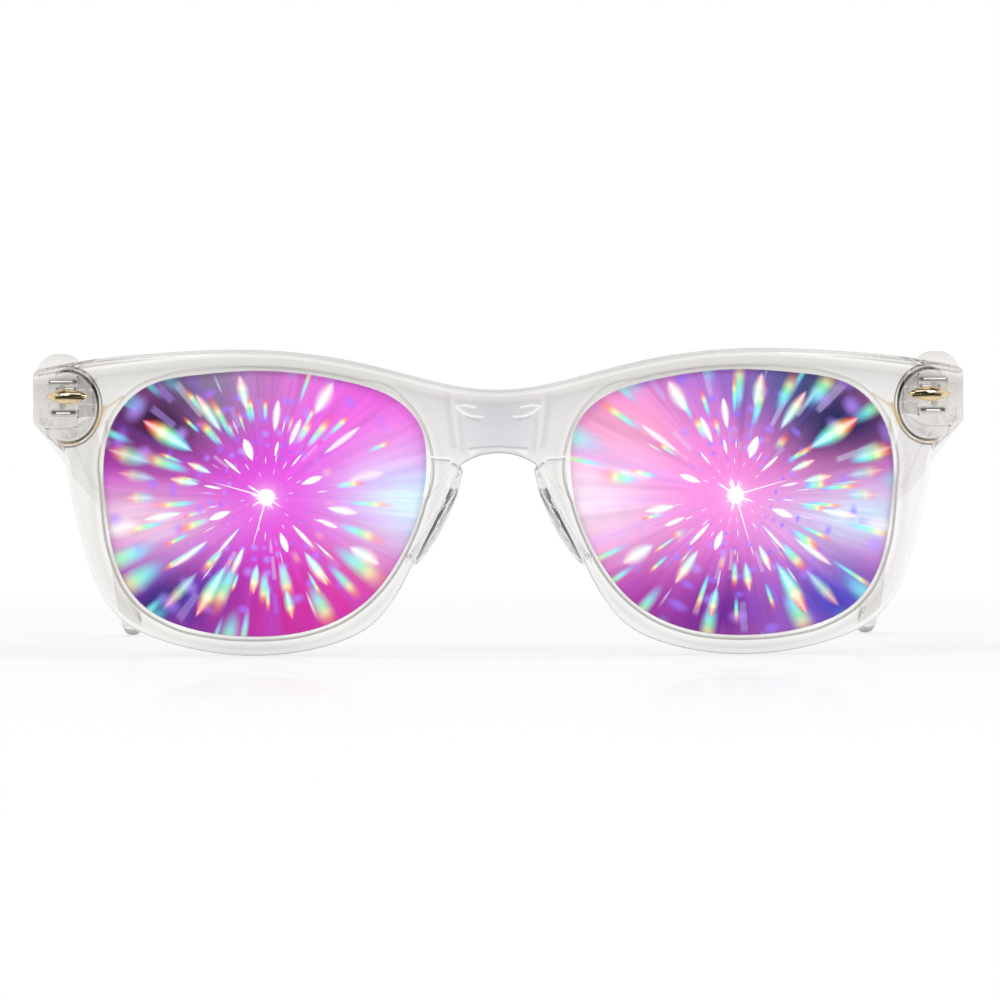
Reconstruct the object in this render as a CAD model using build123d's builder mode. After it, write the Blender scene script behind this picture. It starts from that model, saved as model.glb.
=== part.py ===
from build123d import *

import os
from math import asin, cos, radians, sin, sqrt, tan

# Clear plastic diffraction glasses: a moulded front, two laminated lenses and two folding temples.
# Millimetres, +Z up. The wearer looks along -Y, so the wearer's left is +X.
# The origin is the middle of the footprint, on the surface that the rims and the ear tips rest on.
# Every piece is made on the wearer's left and mirrored to the right.

os.makedirs("parts", exist_ok=True)

# Lenses, bridge and rims, seen from the front
LENS_WIDTH = 50.6
LENS_HEIGHT = 41.4
BRIDGE_WIDTH = 22.4
RIM_BOTTOM = 3.0
RIM_TOP = 3.35
END_PIECE_REACH = 11.2  # lens opening to the outer end of the front
ARCH_RISE = 1.85

# Front moulding, seen from above
FACE_RADIUS = 320.0
FRONT_THICKNESS = 4.0
JOINT_DEPTH = 16.0  # foremost point of the front to the joint face of the end block
FRONT_EDGE_ROUND = 0.9
REAR_EDGE_ROUND = 0.6
OPENING_EDGE_ROUND = 0.3

# End piece, and the rounded block behind it that meets the temple
END_PIECE_HEIGHT = 8.4
END_PIECE_CORNER = 1.3
BLOCK_WIDTH = 10.4
BLOCK_HEIGHT = 10.2
BLOCK_EDGE_ROUND = 0.6

# Nose pads, moulded with the front
PAD_LENGTH = 17.0
PAD_WIDTH = 4.0
PAD_DEPTH = 5.6
PAD_PROUD = 1.5  # how far the pad stands inside the edge of the front
PAD_FLARE = 1.2
PAD_TILT = 28.0
ROOT_DEPTH = 2.2  # how far the pad's root stands behind the front
ROOT_INSET = 0.6  # lens opening to the root
ROOT_EDGE_ROUND = 0.5

# Hollow behind the bridge
SCOOP_TOP_WIDTH = 15.6
SCOOP_BOTTOM_WIDTH = 12.8
SCOOP_TOP_WALL = 1.7
SCOOP_DEPTH = 1.5
SCOOP_CORNER = 3.0
SCOOP_ROUND = 2.8

# Lens laminate: embossed film on a clear carrier, snapped into a groove
GROOVE_DEPTH = 0.7
FILM_SETBACK = 1.2
FILM_THICKNESS = 0.15
CARRIER_THICKNESS = 1.2
LENS_CLEARANCE = 0.05

# Badge on the end piece
BADGE_LENGTH = 7.0
BADGE_HEIGHT = 2.4
BADGE_SINK = 0.3
BADGE_INSET = 5.4  # outer end of the front to the middle of the badge
PEG_DIAMETER = 0.9
PEG_LENGTH = 1.6
PEG_SPACING = 3.2
SEAT_CLEARANCE = 0.04

# Hinge: two front knuckles with the temple's knuckle between them
KNUCKLE_DIAMETER = 3.0
KNUCKLE_HEIGHT = 1.9
MIDDLE_KNUCKLE_HEIGHT = 2.2
KNUCKLE_GAP = 0.1
HINGE_PIN_DIAMETER = 1.4
PIN_CLEARANCE = 0.05
HINGE_HEAD_DIAMETER = 2.2
HINGE_HEAD_HEIGHT = 0.6
HINGE_INBOARD = 1.0  # hinge axis to the inner side of the temple
HINGE_CLEARANCE = 0.2
LEAF_THICKNESS = 1.0
LEAF_CORNER = 0.8
FRONT_LEAF_LENGTH = 5.9
TEMPLE_LEAF_LENGTH = 8.6
LEAF_PROUD = 0.5

# Leaf screws
LEAF_SCREW_DIAMETER = 1.0
LEAF_SCREW_HEAD = 1.8
LEAF_SCREW_LENGTH = 3.2
LEAF_SCREW_SPACING = 2.8
SLOT_WIDTH = 0.3
SLOT_DEPTH = 0.25

# Temple
TEMPLE_GAP = 0.15
TEMPLE_FRONT_HEIGHT = 13.8
TEMPLE_FRONT_WIDTH = 7.6
TEMPLE_WAIST_HEIGHT = 8.4
TEMPLE_WAIST_WIDTH = 4.1
TEMPLE_TIP_HEIGHT = 9.4
TEMPLE_TIP_WIDTH = 3.7
TEMPLE_STRAIGHT = 96.0
TEMPLE_DROP = 8.0
BEND_RADIUS = 30.0
BEND_ANGLE = 34.0
TEMPLE_TOE_IN = 5.0

OVERRUN = 2.0

# Top edge of the front, as shares of its half width and its height
TOP_EDGE_SHARES = (
    (0.000, 0.865),
    (0.138, 0.894),
    (0.288, 0.953),
    (0.428, 0.989),
    (0.590, 1.000),
    (0.772, 0.986),
    (1.000, 0.938),
)
TOP_EDGE_FALL_SHARE = 0.2  # slope of the top edge at its outer end
# Rim's outer edge from the end piece round to the bridge, as shares of the lens width and the front's height
RIM_EDGE_SHARES = (
    (1.123, 0.664),
    (1.103, 0.528),
    (1.067, 0.371),
    (1.016, 0.214),
    (0.935, 0.109),
    (0.829, 0.053),
    (0.690, 0.015),
    (0.542, 0.000),
    (0.393, 0.012),
    (0.274, 0.043),
    (0.176, 0.095),
    (0.103, 0.182),
    (0.032, 0.318),
    (-0.029, 0.446),
    (-0.105, 0.620),
)
# Lens opening, as shares of its own width and height
OPENING_SHARES = (
    (0.000, 0.660),
    (0.022, 0.468),
    (0.081, 0.300),
    (0.183, 0.136),
    (0.323, 0.037),
    (0.542, 0.000),
    (0.750, 0.037),
    (0.881, 0.121),
    (0.954, 0.255),
    (0.990, 0.459),
    (1.000, 0.652),
    (0.964, 0.824),
    (0.876, 0.935),
    (0.700, 0.987),
    (0.540, 1.000),
    (0.410, 0.992),
    (0.244, 0.957),
    (0.085, 0.882),
    (0.018, 0.787),
)
# Temple stations, as shares of the straight, the bend and the run down to the ear tip
STRAIGHT_SHARES = (0.0, 0.2, 0.4, 0.6, 0.8, 1.0)
BEND_SHARES = (0.33, 0.67, 1.00)
TIP_RUN_SHARES = (0.50, 1.00)
# Rounded ear tip: share of its radius along the temple, and of the width left there
TIP_END_SHARES = ((0.45, 0.97), (0.75, 0.86), (0.93, 0.62))
CORNER_SHARE = 0.44  # corner radius of a temple section over its width
# Nose pad sections from front to rear: shares of depth, length, width and flare
PAD_SECTION_SHARES = (
    (-0.35, 1.00, 0.85, 0.10),
    (0.30, 1.00, 1.00, 0.00),
    (0.76, 0.86, 0.78, 0.50),
    (1.00, 0.60, 0.40, 1.00),
)
PAD_CENTRE_SHARES = (-0.026, 0.440)
# Root of the pad, as shares of the lens width and the front's height
ROOT_SHARES = (
    (0.040, 0.645),
    (-0.100, 0.628),
    (-0.112, 0.600),
    (-0.094, 0.520),
    (-0.040, 0.415),
    (0.055, 0.395),
)
BADGE_LEVEL_SHARE = 0.5

# Places that follow from the sizes above
half_width = BRIDGE_WIDTH / 2 + LENS_WIDTH + END_PIECE_REACH
front_height = RIM_BOTTOM + LENS_HEIGHT + RIM_TOP
end_top = TOP_EDGE_SHARES[-1][1] * front_height
end_bottom = end_top - END_PIECE_HEIGHT
hinge_z = end_bottom + END_PIECE_HEIGHT / 2
hinge_height = 2 * KNUCKLE_HEIGHT + MIDDLE_KNUCKLE_HEIGHT + 2 * KNUCKLE_GAP
temple_inner_x = half_width - TEMPLE_FRONT_WIDTH
hinge_x = temple_inner_x - HINGE_INBOARD
knuckle_radius = KNUCKLE_DIAMETER / 2
pocket_radius = knuckle_radius + HINGE_CLEARANCE

# The temple's side view sets the overall depth, which the origin halves
drop_angle = radians(TEMPLE_DROP)
tip_angle = radians(TEMPLE_DROP + BEND_ANGLE)
tip_radius = TEMPLE_TIP_HEIGHT / 2
bend_start_z = hinge_z - TEMPLE_STRAIGHT * tan(drop_angle)
bend_run = BEND_RADIUS * (sin(tip_angle) - sin(drop_angle))
bend_fall = BEND_RADIUS * (cos(drop_angle) - cos(tip_angle))
tip_fall = bend_start_z - bend_fall - tip_radius
tip_run = tip_fall / tan(tip_angle)
temple_run = TEMPLE_GAP + TEMPLE_STRAIGHT + bend_run + tip_run
front_y = -(JOINT_DEPTH + temple_run + tip_radius) / 2
joint_y = front_y + JOINT_DEPTH


def facing(depth):
    """Front-view plane that far behind the foremost point. A negative extrude goes back from it."""
    return Plane.XZ.offset(-(front_y + depth))


def surface_depth(x):
    """How far the curved front surface lies behind the foremost point."""
    return FACE_RADIUS - sqrt(FACE_RADIUS**2 - x**2)


def rim_point(shares):
    """A point of the rim's outer edge in the front view."""
    return BRIDGE_WIDTH / 2 + shares[0] * LENS_WIDTH, shares[1] * front_height


def lens_outline(grow):
    """The lens outline in the front view, grown alike on every side."""
    wide, high = LENS_WIDTH + 2 * grow, LENS_HEIGHT + 2 * grow
    low_x, low_z = BRIDGE_WIDTH / 2 - grow, RIM_BOTTOM - grow
    with BuildSketch(facing(-OVERRUN)) as outline:
        with BuildLine():
            Spline(*[(low_x + sx * wide, low_z + sz * high) for sx, sz in OPENING_SHARES], periodic=True)
        make_face()
    return outline.sketch


def curved_layer(setback, thickness):
    """Plan view of a layer that follows the curved face, from the setback behind it."""
    with BuildSketch(Plane.XY.offset(-OVERRUN)) as ring:
        with Locations((0, front_y + FACE_RADIUS)):
            Circle(FACE_RADIUS - setback)
            Circle(FACE_RADIUS - setback - thickness, mode=Mode.SUBTRACT)
    return ring.sketch


def lens_layer(grow, setback, thickness):
    """Solid in the left lens outline that follows the curved face."""
    with BuildPart() as layer:
        extrude(lens_outline(grow), amount=-(JOINT_DEPTH + OVERRUN))
        extrude(curved_layer(setback, thickness), amount=front_height + 2 * OVERRUN, mode=Mode.INTERSECT)
    return layer.part


def save_pair(stem, piece):
    """Write the wearer's left piece and its mirror image."""
    for side, part in (("left", piece), ("right", mirror(piece, about=Plane.YZ))):
        part.label = f"{side}_{stem}"
        export_step(part, f"parts/{part.label}.step")


# Front outline, from the bridge over the end piece and round the rim
with BuildSketch(facing(-OVERRUN)) as front_outline:
    with BuildLine():
        top_edge = Spline(
            *[(sx * half_width, sz * front_height) for sx, sz in TOP_EDGE_SHARES],
            tangents=((1, 0), (1, -TOP_EDGE_FALL_SHARE)),
        )
        corner = (half_width, end_bottom)
        Line(top_edge @ 1, corner)
        Line(corner, rim_point(RIM_EDGE_SHARES[0]))
        rim_edge = Spline(*[rim_point(shares) for shares in RIM_EDGE_SHARES])
        arch_end_x, arch_end_z = rim_point(RIM_EDGE_SHARES[-1])
        arch_radius = (arch_end_x**2 + ARCH_RISE**2) / (2 * ARCH_RISE)
        RadiusArc(rim_edge @ 1, (0, arch_end_z + ARCH_RISE), -arch_radius)
        Line((0, arch_end_z + ARCH_RISE), top_edge @ 0)
    make_face()
    fillet(front_outline.vertices().sort_by(Axis.X)[-3:], radius=END_PIECE_CORNER)

# Block behind the end piece, rounded towards the nose
block_front = surface_depth(half_width) + FRONT_THICKNESS / 2
block_radius = BLOCK_HEIGHT / 2
block_arc_x = half_width - BLOCK_WIDTH + block_radius
with BuildPart() as end_block:
    with BuildSketch(facing(block_front)):
        with Locations((block_arc_x, hinge_z)):
            Circle(block_radius)
            Rectangle(BLOCK_WIDTH, BLOCK_HEIGHT, align=(Align.MIN, Align.CENTER))
    extrude(amount=-(JOINT_DEPTH - block_front))
    fillet(end_block.faces().sort_by(Axis.Y)[-1].edges(), radius=BLOCK_EDGE_ROUND)
    extrude(front_outline.sketch, amount=-(JOINT_DEPTH + 2 * OVERRUN), mode=Mode.INTERSECT)

# Nose pad, standing back from the rim beside the nose
pad_x, pad_z = rim_point(PAD_CENTRE_SHARES)
pad_lean = radians(PAD_TILT)
with BuildPart() as nose_pad:
    for depth, length, width, flare in PAD_SECTION_SHARES:
        outboard = PAD_WIDTH / 2 - PAD_PROUD + flare * PAD_FLARE
        with BuildSketch(facing(FRONT_THICKNESS + depth * PAD_DEPTH)):
            with Locations((pad_x + outboard * cos(pad_lean), pad_z + outboard * sin(pad_lean))):
                Ellipse(width * PAD_WIDTH / 2, length * PAD_LENGTH / 2, rotation=PAD_TILT)
    loft()

# Root of the nose pad, a step behind the rim between the lens and the nose
with BuildPart() as pad_root:
    with BuildSketch(facing(FRONT_THICKNESS / 2)):
        Polygon(*[rim_point(shares) for shares in ROOT_SHARES], align=None)
    extrude(amount=-(FRONT_THICKNESS / 2 + ROOT_DEPTH))
    extrude(lens_outline(ROOT_INSET), amount=-(JOINT_DEPTH + OVERRUN), mode=Mode.SUBTRACT)
    fillet(pad_root.faces().sort_by(Axis.Y)[-1].edges(), radius=ROOT_EDGE_ROUND)

# Hollow behind the bridge, open at the arch
scoop_top = top_edge.position_at(0).Z - SCOOP_TOP_WALL
with BuildPart() as scoop:
    with BuildSketch(facing(FRONT_THICKNESS + OVERRUN)):
        Polygon(
            (-SCOOP_TOP_WIDTH / 2, scoop_top),
            (SCOOP_TOP_WIDTH / 2, scoop_top),
            (SCOOP_BOTTOM_WIDTH / 2, arch_end_z - OVERRUN),
            (-SCOOP_BOTTOM_WIDTH / 2, arch_end_z - OVERRUN),
            align=None,
        )
    extrude(amount=OVERRUN + SCOOP_DEPTH)
    fillet(scoop.edges().filter_by(Axis.Y).sort_by(Axis.Z)[-2:], radius=SCOOP_CORNER)
    fillet(scoop.faces().sort_by(Axis.Y)[0].edges(), radius=SCOOP_ROUND)

# Badge: half a spindle with pointed ends, and two pegs into the end piece
badge_x = half_width - BADGE_INSET
badge_z = end_bottom + BADGE_LEVEL_SHARE * END_PIECE_HEIGHT
badge_turn = asin(badge_x / FACE_RADIUS)
badge_surface = Plane(
    origin=(badge_x, front_y + surface_depth(badge_x), badge_z),
    x_dir=(cos(badge_turn), sin(badge_turn), 0),
    z_dir=(sin(badge_turn), -cos(badge_turn), 0),
)
badge_seat = badge_surface.offset(-BADGE_SINK)


def add_pegs(clearance, mode):
    """The badge's two pegs, or with a clearance the holes for them."""
    with BuildSketch(badge_seat) as pegs:
        with GridLocations(PEG_SPACING, 0, 2, 1):
            Circle(PEG_DIAMETER / 2 + clearance)
    extrude(pegs.sketch, amount=-(PEG_LENGTH + clearance), mode=mode)


with BuildPart() as badge:
    with BuildSketch(badge_seat):
        with BuildLine():
            ThreePointArc((-BADGE_LENGTH / 2, 0), (0, BADGE_HEIGHT / 2), (BADGE_LENGTH / 2, 0))
            Line((BADGE_LENGTH / 2, 0), (-BADGE_LENGTH / 2, 0))
        make_face()
    revolve(axis=Axis(badge_seat.origin, badge_seat.x_dir), revolution_arc=180)
    add_pegs(0, Mode.ADD)

# Hinge levels, measured up from the foot of the hinge
middle_low = KNUCKLE_HEIGHT + KNUCKLE_GAP
middle_high = middle_low + MIDDLE_KNUCKLE_HEIGHT
top_low = middle_high + KNUCKLE_GAP
hinge_foot = Plane(origin=(hinge_x, joint_y, hinge_z - hinge_height / 2))
leaf_outer_x = hinge_x + FRONT_LEAF_LENGTH
leaf_inner_x = temple_inner_x - LEAF_PROUD


def hinge_barrel(radius, low, high, mode):
    """A cylinder on the hinge axis, between two levels."""
    with BuildSketch(hinge_foot.offset(low)) as disc:
        Circle(radius)
    extrude(disc.sketch, amount=high - low, mode=mode)


def front_leaf_plate(clearance):
    """The front leaf's plate against the joint face, or with a clearance the recess for it."""
    with BuildPart() as plate:
        with BuildSketch(facing(JOINT_DEPTH - LEAF_THICKNESS)) as outline:
            with Locations(((hinge_x + leaf_outer_x) / 2, hinge_z)):
                Rectangle(FRONT_LEAF_LENGTH + 2 * clearance, hinge_height + 2 * clearance)
            fillet(outline.vertices().sort_by(Axis.X)[-2:], radius=LEAF_CORNER)
        extrude(amount=-LEAF_THICKNESS)
    return plate.part


def temple_leaf_plate(clearance):
    """The temple leaf's plate on the temple's inner side, or with a clearance the recess for it."""
    with BuildPart() as plate:
        with BuildSketch(Plane.YZ.offset(leaf_inner_x)) as outline:
            with Locations((joint_y + TEMPLE_LEAF_LENGTH / 2, hinge_z)):
                Rectangle(TEMPLE_LEAF_LENGTH + 2 * clearance, hinge_height + 2 * clearance)
            fillet(outline.vertices().sort_by(Axis.Y)[-2:], radius=LEAF_CORNER)
        extrude(amount=LEAF_THICKNESS)
    return plate.part


def leaf_screw(head, clearance):
    """A countersunk screw with its head flush with the plane, or with a clearance the hole for it."""
    countersink = (LEAF_SCREW_HEAD - LEAF_SCREW_DIAMETER) / 2
    with BuildPart() as screw:
        with BuildSketch(head):
            Circle(LEAF_SCREW_HEAD / 2 + clearance)
        with BuildSketch(head.offset(-countersink)):
            Circle(LEAF_SCREW_DIAMETER / 2 + clearance)
        loft()
        with BuildSketch(head.offset(-countersink)):
            Circle(LEAF_SCREW_DIAMETER / 2 + clearance)
        extrude(amount=-(LEAF_SCREW_LENGTH + clearance - countersink))
        if not clearance:
            with BuildSketch(head):
                Rectangle(SLOT_WIDTH, LEAF_SCREW_HEAD)
            extrude(amount=-SLOT_DEPTH, mode=Mode.SUBTRACT)
    return screw.part


front_screw_x = (leaf_outer_x + hinge_x + pocket_radius) / 2
temple_screw_y = joint_y + (TEMPLE_LEAF_LENGTH + pocket_radius) / 2
front_screw_heads = {
    "upper": Plane(origin=(front_screw_x, joint_y, hinge_z + LEAF_SCREW_SPACING / 2), z_dir=(0, 1, 0)),
    "lower": Plane(origin=(front_screw_x, joint_y, hinge_z - LEAF_SCREW_SPACING / 2), z_dir=(0, 1, 0)),
}
temple_screw_heads = {
    "front": Plane(origin=(leaf_inner_x, temple_screw_y - LEAF_SCREW_SPACING / 2, hinge_z), z_dir=(-1, 0, 0)),
    "rear": Plane(origin=(leaf_inner_x, temple_screw_y + LEAF_SCREW_SPACING / 2, hinge_z), z_dir=(-1, 0, 0)),
}

with BuildPart() as front_leaf:
    add(front_leaf_plate(0))
    hinge_barrel(pocket_radius, middle_low - KNUCKLE_GAP, top_low, Mode.SUBTRACT)
    hinge_barrel(knuckle_radius, 0, KNUCKLE_HEIGHT, Mode.ADD)
    hinge_barrel(knuckle_radius, top_low, hinge_height, Mode.ADD)
    hinge_barrel(HINGE_PIN_DIAMETER / 2 + PIN_CLEARANCE, 0, hinge_height, Mode.SUBTRACT)
    hinge_barrel(
        HINGE_HEAD_DIAMETER / 2 + PIN_CLEARANCE, hinge_height - HINGE_HEAD_HEIGHT, hinge_height, Mode.SUBTRACT
    )
    for head in front_screw_heads.values():
        add(leaf_screw(head, SEAT_CLEARANCE), mode=Mode.SUBTRACT)

with BuildPart() as temple_leaf:
    add(temple_leaf_plate(0))
    hinge_barrel(pocket_radius, 0, middle_low, Mode.SUBTRACT)
    hinge_barrel(pocket_radius, middle_high, hinge_height, Mode.SUBTRACT)
    hinge_barrel(knuckle_radius, middle_low, middle_high, Mode.ADD)
    hinge_barrel(HINGE_PIN_DIAMETER / 2 + PIN_CLEARANCE, middle_low, middle_high, Mode.SUBTRACT)
    for head in temple_screw_heads.values():
        add(leaf_screw(head, SEAT_CLEARANCE), mode=Mode.SUBTRACT)

with BuildPart() as hinge_screw:
    hinge_barrel(HINGE_PIN_DIAMETER / 2, 0, hinge_height, Mode.ADD)
    hinge_barrel(HINGE_HEAD_DIAMETER / 2, hinge_height - HINGE_HEAD_HEIGHT, hinge_height, Mode.ADD)
    with BuildSketch(hinge_foot.offset(hinge_height)):
        Rectangle(HINGE_HEAD_DIAMETER, SLOT_WIDTH)
    extrude(amount=-SLOT_DEPTH, mode=Mode.SUBTRACT)

with BuildPart() as front_frame:
    extrude(front_outline.sketch, amount=-(JOINT_DEPTH + OVERRUN))
    extrude(curved_layer(0, FRONT_THICKNESS), amount=front_height + 2 * OVERRUN, mode=Mode.INTERSECT)
    add(lens_layer(0, -OVERRUN, FRONT_THICKNESS + 2 * OVERRUN), mode=Mode.SUBTRACT)
    for side, edge_round in ((0, FRONT_EDGE_ROUND), (-1, REAR_EDGE_ROUND)):
        broad_face = front_frame.faces().sort_by(SortBy.AREA)[-2:].sort_by(Axis.Y)[side]
        fillet(broad_face.outer_wire().edges().sort_by(Axis.X)[1:], radius=edge_round)
        broad_face = front_frame.faces().sort_by(SortBy.AREA)[-2:].sort_by(Axis.Y)[side]
        fillet(broad_face.inner_wires()[0].edges(), radius=OPENING_EDGE_ROUND)
    add(end_block.part)
    add(scoop.part, mode=Mode.SUBTRACT)
    add(nose_pad.part)
    add(pad_root.part)
    laminate = FILM_THICKNESS + CARRIER_THICKNESS + 2 * LENS_CLEARANCE
    add(lens_layer(GROOVE_DEPTH + LENS_CLEARANCE, FILM_SETBACK - LENS_CLEARANCE, laminate), mode=Mode.SUBTRACT)
    with BuildSketch(badge_surface.offset(OVERRUN)):
        with BuildLine():
            badge_end = BADGE_LENGTH / 2 + SEAT_CLEARANCE
            badge_side = BADGE_HEIGHT / 2 + SEAT_CLEARANCE
            ThreePointArc((-badge_end, 0), (0, badge_side), (badge_end, 0))
            ThreePointArc((badge_end, 0), (0, -badge_side), (-badge_end, 0))
        make_face()
    extrude(amount=-(OVERRUN + BADGE_SINK), mode=Mode.SUBTRACT)
    add_pegs(SEAT_CLEARANCE, Mode.SUBTRACT)
    with BuildSketch(hinge_foot.offset(-HINGE_CLEARANCE)):
        Circle(pocket_radius)
        Rectangle(BLOCK_WIDTH, 2 * pocket_radius, align=(Align.MAX, Align.CENTER))
    extrude(amount=hinge_height + 2 * HINGE_CLEARANCE, mode=Mode.SUBTRACT)
    add(front_leaf_plate(SEAT_CLEARANCE), mode=Mode.SUBTRACT)
    for head in front_screw_heads.values():
        add(leaf_screw(head, SEAT_CLEARANCE), mode=Mode.SUBTRACT)
    mirror(about=Plane.YZ)


def temple_section(run, fall, lean, width, height):
    """One section of the temple, leaning with its path."""
    toe_in = TEMPLE_TOE_IN * (run / temple_run) ** 2
    centre = (half_width - width / 2 - toe_in, joint_y + run, hinge_z - fall)
    plane = Plane(origin=centre, x_dir=(-1, 0, 0), z_dir=(0, cos(lean), -sin(lean)))
    with BuildSketch(plane) as section:
        RectangleRounded(width, height, CORNER_SHARE * width)
    return section.sketch


straight_sections = []
for share in STRAIGHT_SHARES:
    run = TEMPLE_GAP + share * TEMPLE_STRAIGHT
    fall = share * TEMPLE_STRAIGHT * tan(drop_angle)
    width = TEMPLE_WAIST_WIDTH + (1 - share**2) ** 3 * (TEMPLE_FRONT_WIDTH - TEMPLE_WAIST_WIDTH)
    height = TEMPLE_WAIST_HEIGHT + (1 - share) ** 2 * (TEMPLE_FRONT_HEIGHT - TEMPLE_WAIST_HEIGHT)
    straight_sections.append(temple_section(run, fall, share * drop_angle, width, height))

bend_sections = [straight_sections[-1]]
for share in BEND_SHARES:
    lean = drop_angle + share * radians(BEND_ANGLE)
    run = TEMPLE_GAP + TEMPLE_STRAIGHT + BEND_RADIUS * (sin(lean) - sin(drop_angle))
    fall = hinge_z - bend_start_z + BEND_RADIUS * (cos(drop_angle) - cos(lean))
    width = TEMPLE_WAIST_WIDTH + share * (TEMPLE_TIP_WIDTH - TEMPLE_WAIST_WIDTH)
    height = TEMPLE_WAIST_HEIGHT + share * (TEMPLE_TIP_HEIGHT - TEMPLE_WAIST_HEIGHT)
    bend_sections.append(temple_section(run, fall, lean, width, height))
for share in TIP_RUN_SHARES:
    run = temple_run - (1 - share) * tip_run
    fall = hinge_z - tip_radius - (1 - share) * tip_fall
    bend_sections.append(temple_section(run, fall, tip_angle, TEMPLE_TIP_WIDTH, TEMPLE_TIP_HEIGHT))

end_sections = [bend_sections[-1]]
for place, wide in TIP_END_SHARES:
    run = temple_run + place * tip_radius * cos(tip_angle)
    fall = hinge_z - tip_radius + place * tip_radius * sin(tip_angle)
    tall = TEMPLE_TIP_HEIGHT * sqrt(1 - place**2)
    end_sections.append(temple_section(run, fall, tip_angle, wide * TEMPLE_TIP_WIDTH, tall))

with BuildPart() as temple:
    loft(straight_sections)
    loft(bend_sections)
    loft(end_sections)
    hinge_barrel(pocket_radius, -HINGE_CLEARANCE, hinge_height + HINGE_CLEARANCE, Mode.SUBTRACT)
    add(temple_leaf_plate(SEAT_CLEARANCE), mode=Mode.SUBTRACT)
    for head in temple_screw_heads.values():
        add(leaf_screw(head, SEAT_CLEARANCE), mode=Mode.SUBTRACT)

front_frame.part.label = "front_frame"
export_step(front_frame.part, "parts/front_frame.step")
save_pair("lens", lens_layer(GROOVE_DEPTH, FILM_SETBACK + FILM_THICKNESS, CARRIER_THICKNESS))
save_pair("diffraction_film", lens_layer(GROOVE_DEPTH, FILM_SETBACK, FILM_THICKNESS))
save_pair("badge", badge.part)
save_pair("front_hinge_leaf", front_leaf.part)
save_pair("temple_hinge_leaf", temple_leaf.part)
save_pair("hinge_screw", hinge_screw.part)
save_pair("temple", temple.part)
for name, head in front_screw_heads.items():
    save_pair(f"front_leaf_{name}_screw", leaf_screw(head, 0))
for name, head in temple_screw_heads.items():
    save_pair(f"temple_leaf_{name}_screw", leaf_screw(head, 0))
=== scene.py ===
"""Looks of the clear plastic diffraction glasses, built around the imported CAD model.

Metres, +Z up. The wearer looks along -Y, so the wearer's left is +X.
"""
import logging
import math
from dataclasses import dataclass
from enum import Enum

import bmesh
import bpy
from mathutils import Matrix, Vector


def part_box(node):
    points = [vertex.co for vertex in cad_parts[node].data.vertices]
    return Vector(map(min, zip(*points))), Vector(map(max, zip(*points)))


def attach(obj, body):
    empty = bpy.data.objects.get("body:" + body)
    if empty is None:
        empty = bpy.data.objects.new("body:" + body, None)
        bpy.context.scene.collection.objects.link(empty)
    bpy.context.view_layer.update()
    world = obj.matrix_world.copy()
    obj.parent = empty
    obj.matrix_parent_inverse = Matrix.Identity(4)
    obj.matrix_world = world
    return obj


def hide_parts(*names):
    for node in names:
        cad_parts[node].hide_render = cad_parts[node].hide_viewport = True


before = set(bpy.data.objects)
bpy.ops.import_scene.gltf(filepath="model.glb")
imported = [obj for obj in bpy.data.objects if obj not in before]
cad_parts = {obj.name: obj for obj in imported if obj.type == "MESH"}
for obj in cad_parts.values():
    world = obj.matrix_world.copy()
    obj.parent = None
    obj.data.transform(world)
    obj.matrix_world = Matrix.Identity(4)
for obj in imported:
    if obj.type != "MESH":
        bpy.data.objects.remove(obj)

log = logging.getLogger("glasses")

MILLIMETRE = 0.001
BORDER = "border"

Color = Place = tuple[float, float, float]
Turn = tuple[float, float, float, float]


class Side(Enum):
    """The wearer's two sides, with the sign of their X."""

    LEFT = 1
    RIGHT = -1

    @property
    def word(self) -> str:
        """Start of the side's piece names."""
        return self.name.lower()

    @property
    def arm(self) -> str:
        """Body that the side's temple rides on."""
        return f"{self.word}_arm"


class Slot(Enum):
    """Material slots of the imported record."""

    PLASTIC = "clear_plastic"
    SHEET = "lens_sheet"
    FILM = "diffraction_film"
    GOLD = "pale_gold"
    HINGE = "hinge_metal"
    SCREW = "screw_steel"


@dataclass(frozen=True)
class Streaks:
    """Sizes of one layer of streaks in the burst, in sectors of a turn and millimetres of radius."""

    count: float
    rate: float
    seed: float
    density: float
    width: float
    length: float
    point: float
    soft: float
    nearest: float
    farthest: float
    strength: float
    spectrum: float
    ghost: Color | None = None


@dataclass(frozen=True)
class Spindle:
    """One large streak: its middle from the star, X towards the temple, and its size, in millimetres."""

    x: float
    z: float
    length: float
    width: float
    play: float = 0.0
    soft: float = 0.62
    strength: float = 1.0


@dataclass(frozen=True)
class Line:
    """Soft line laid on a colour, in millimetres, drawn on both halves: mostly painted highlights and painted
    shade.
    """

    start: tuple[float, float]
    end: tuple[float, float]
    width: float
    tint: Color
    share: float


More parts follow.
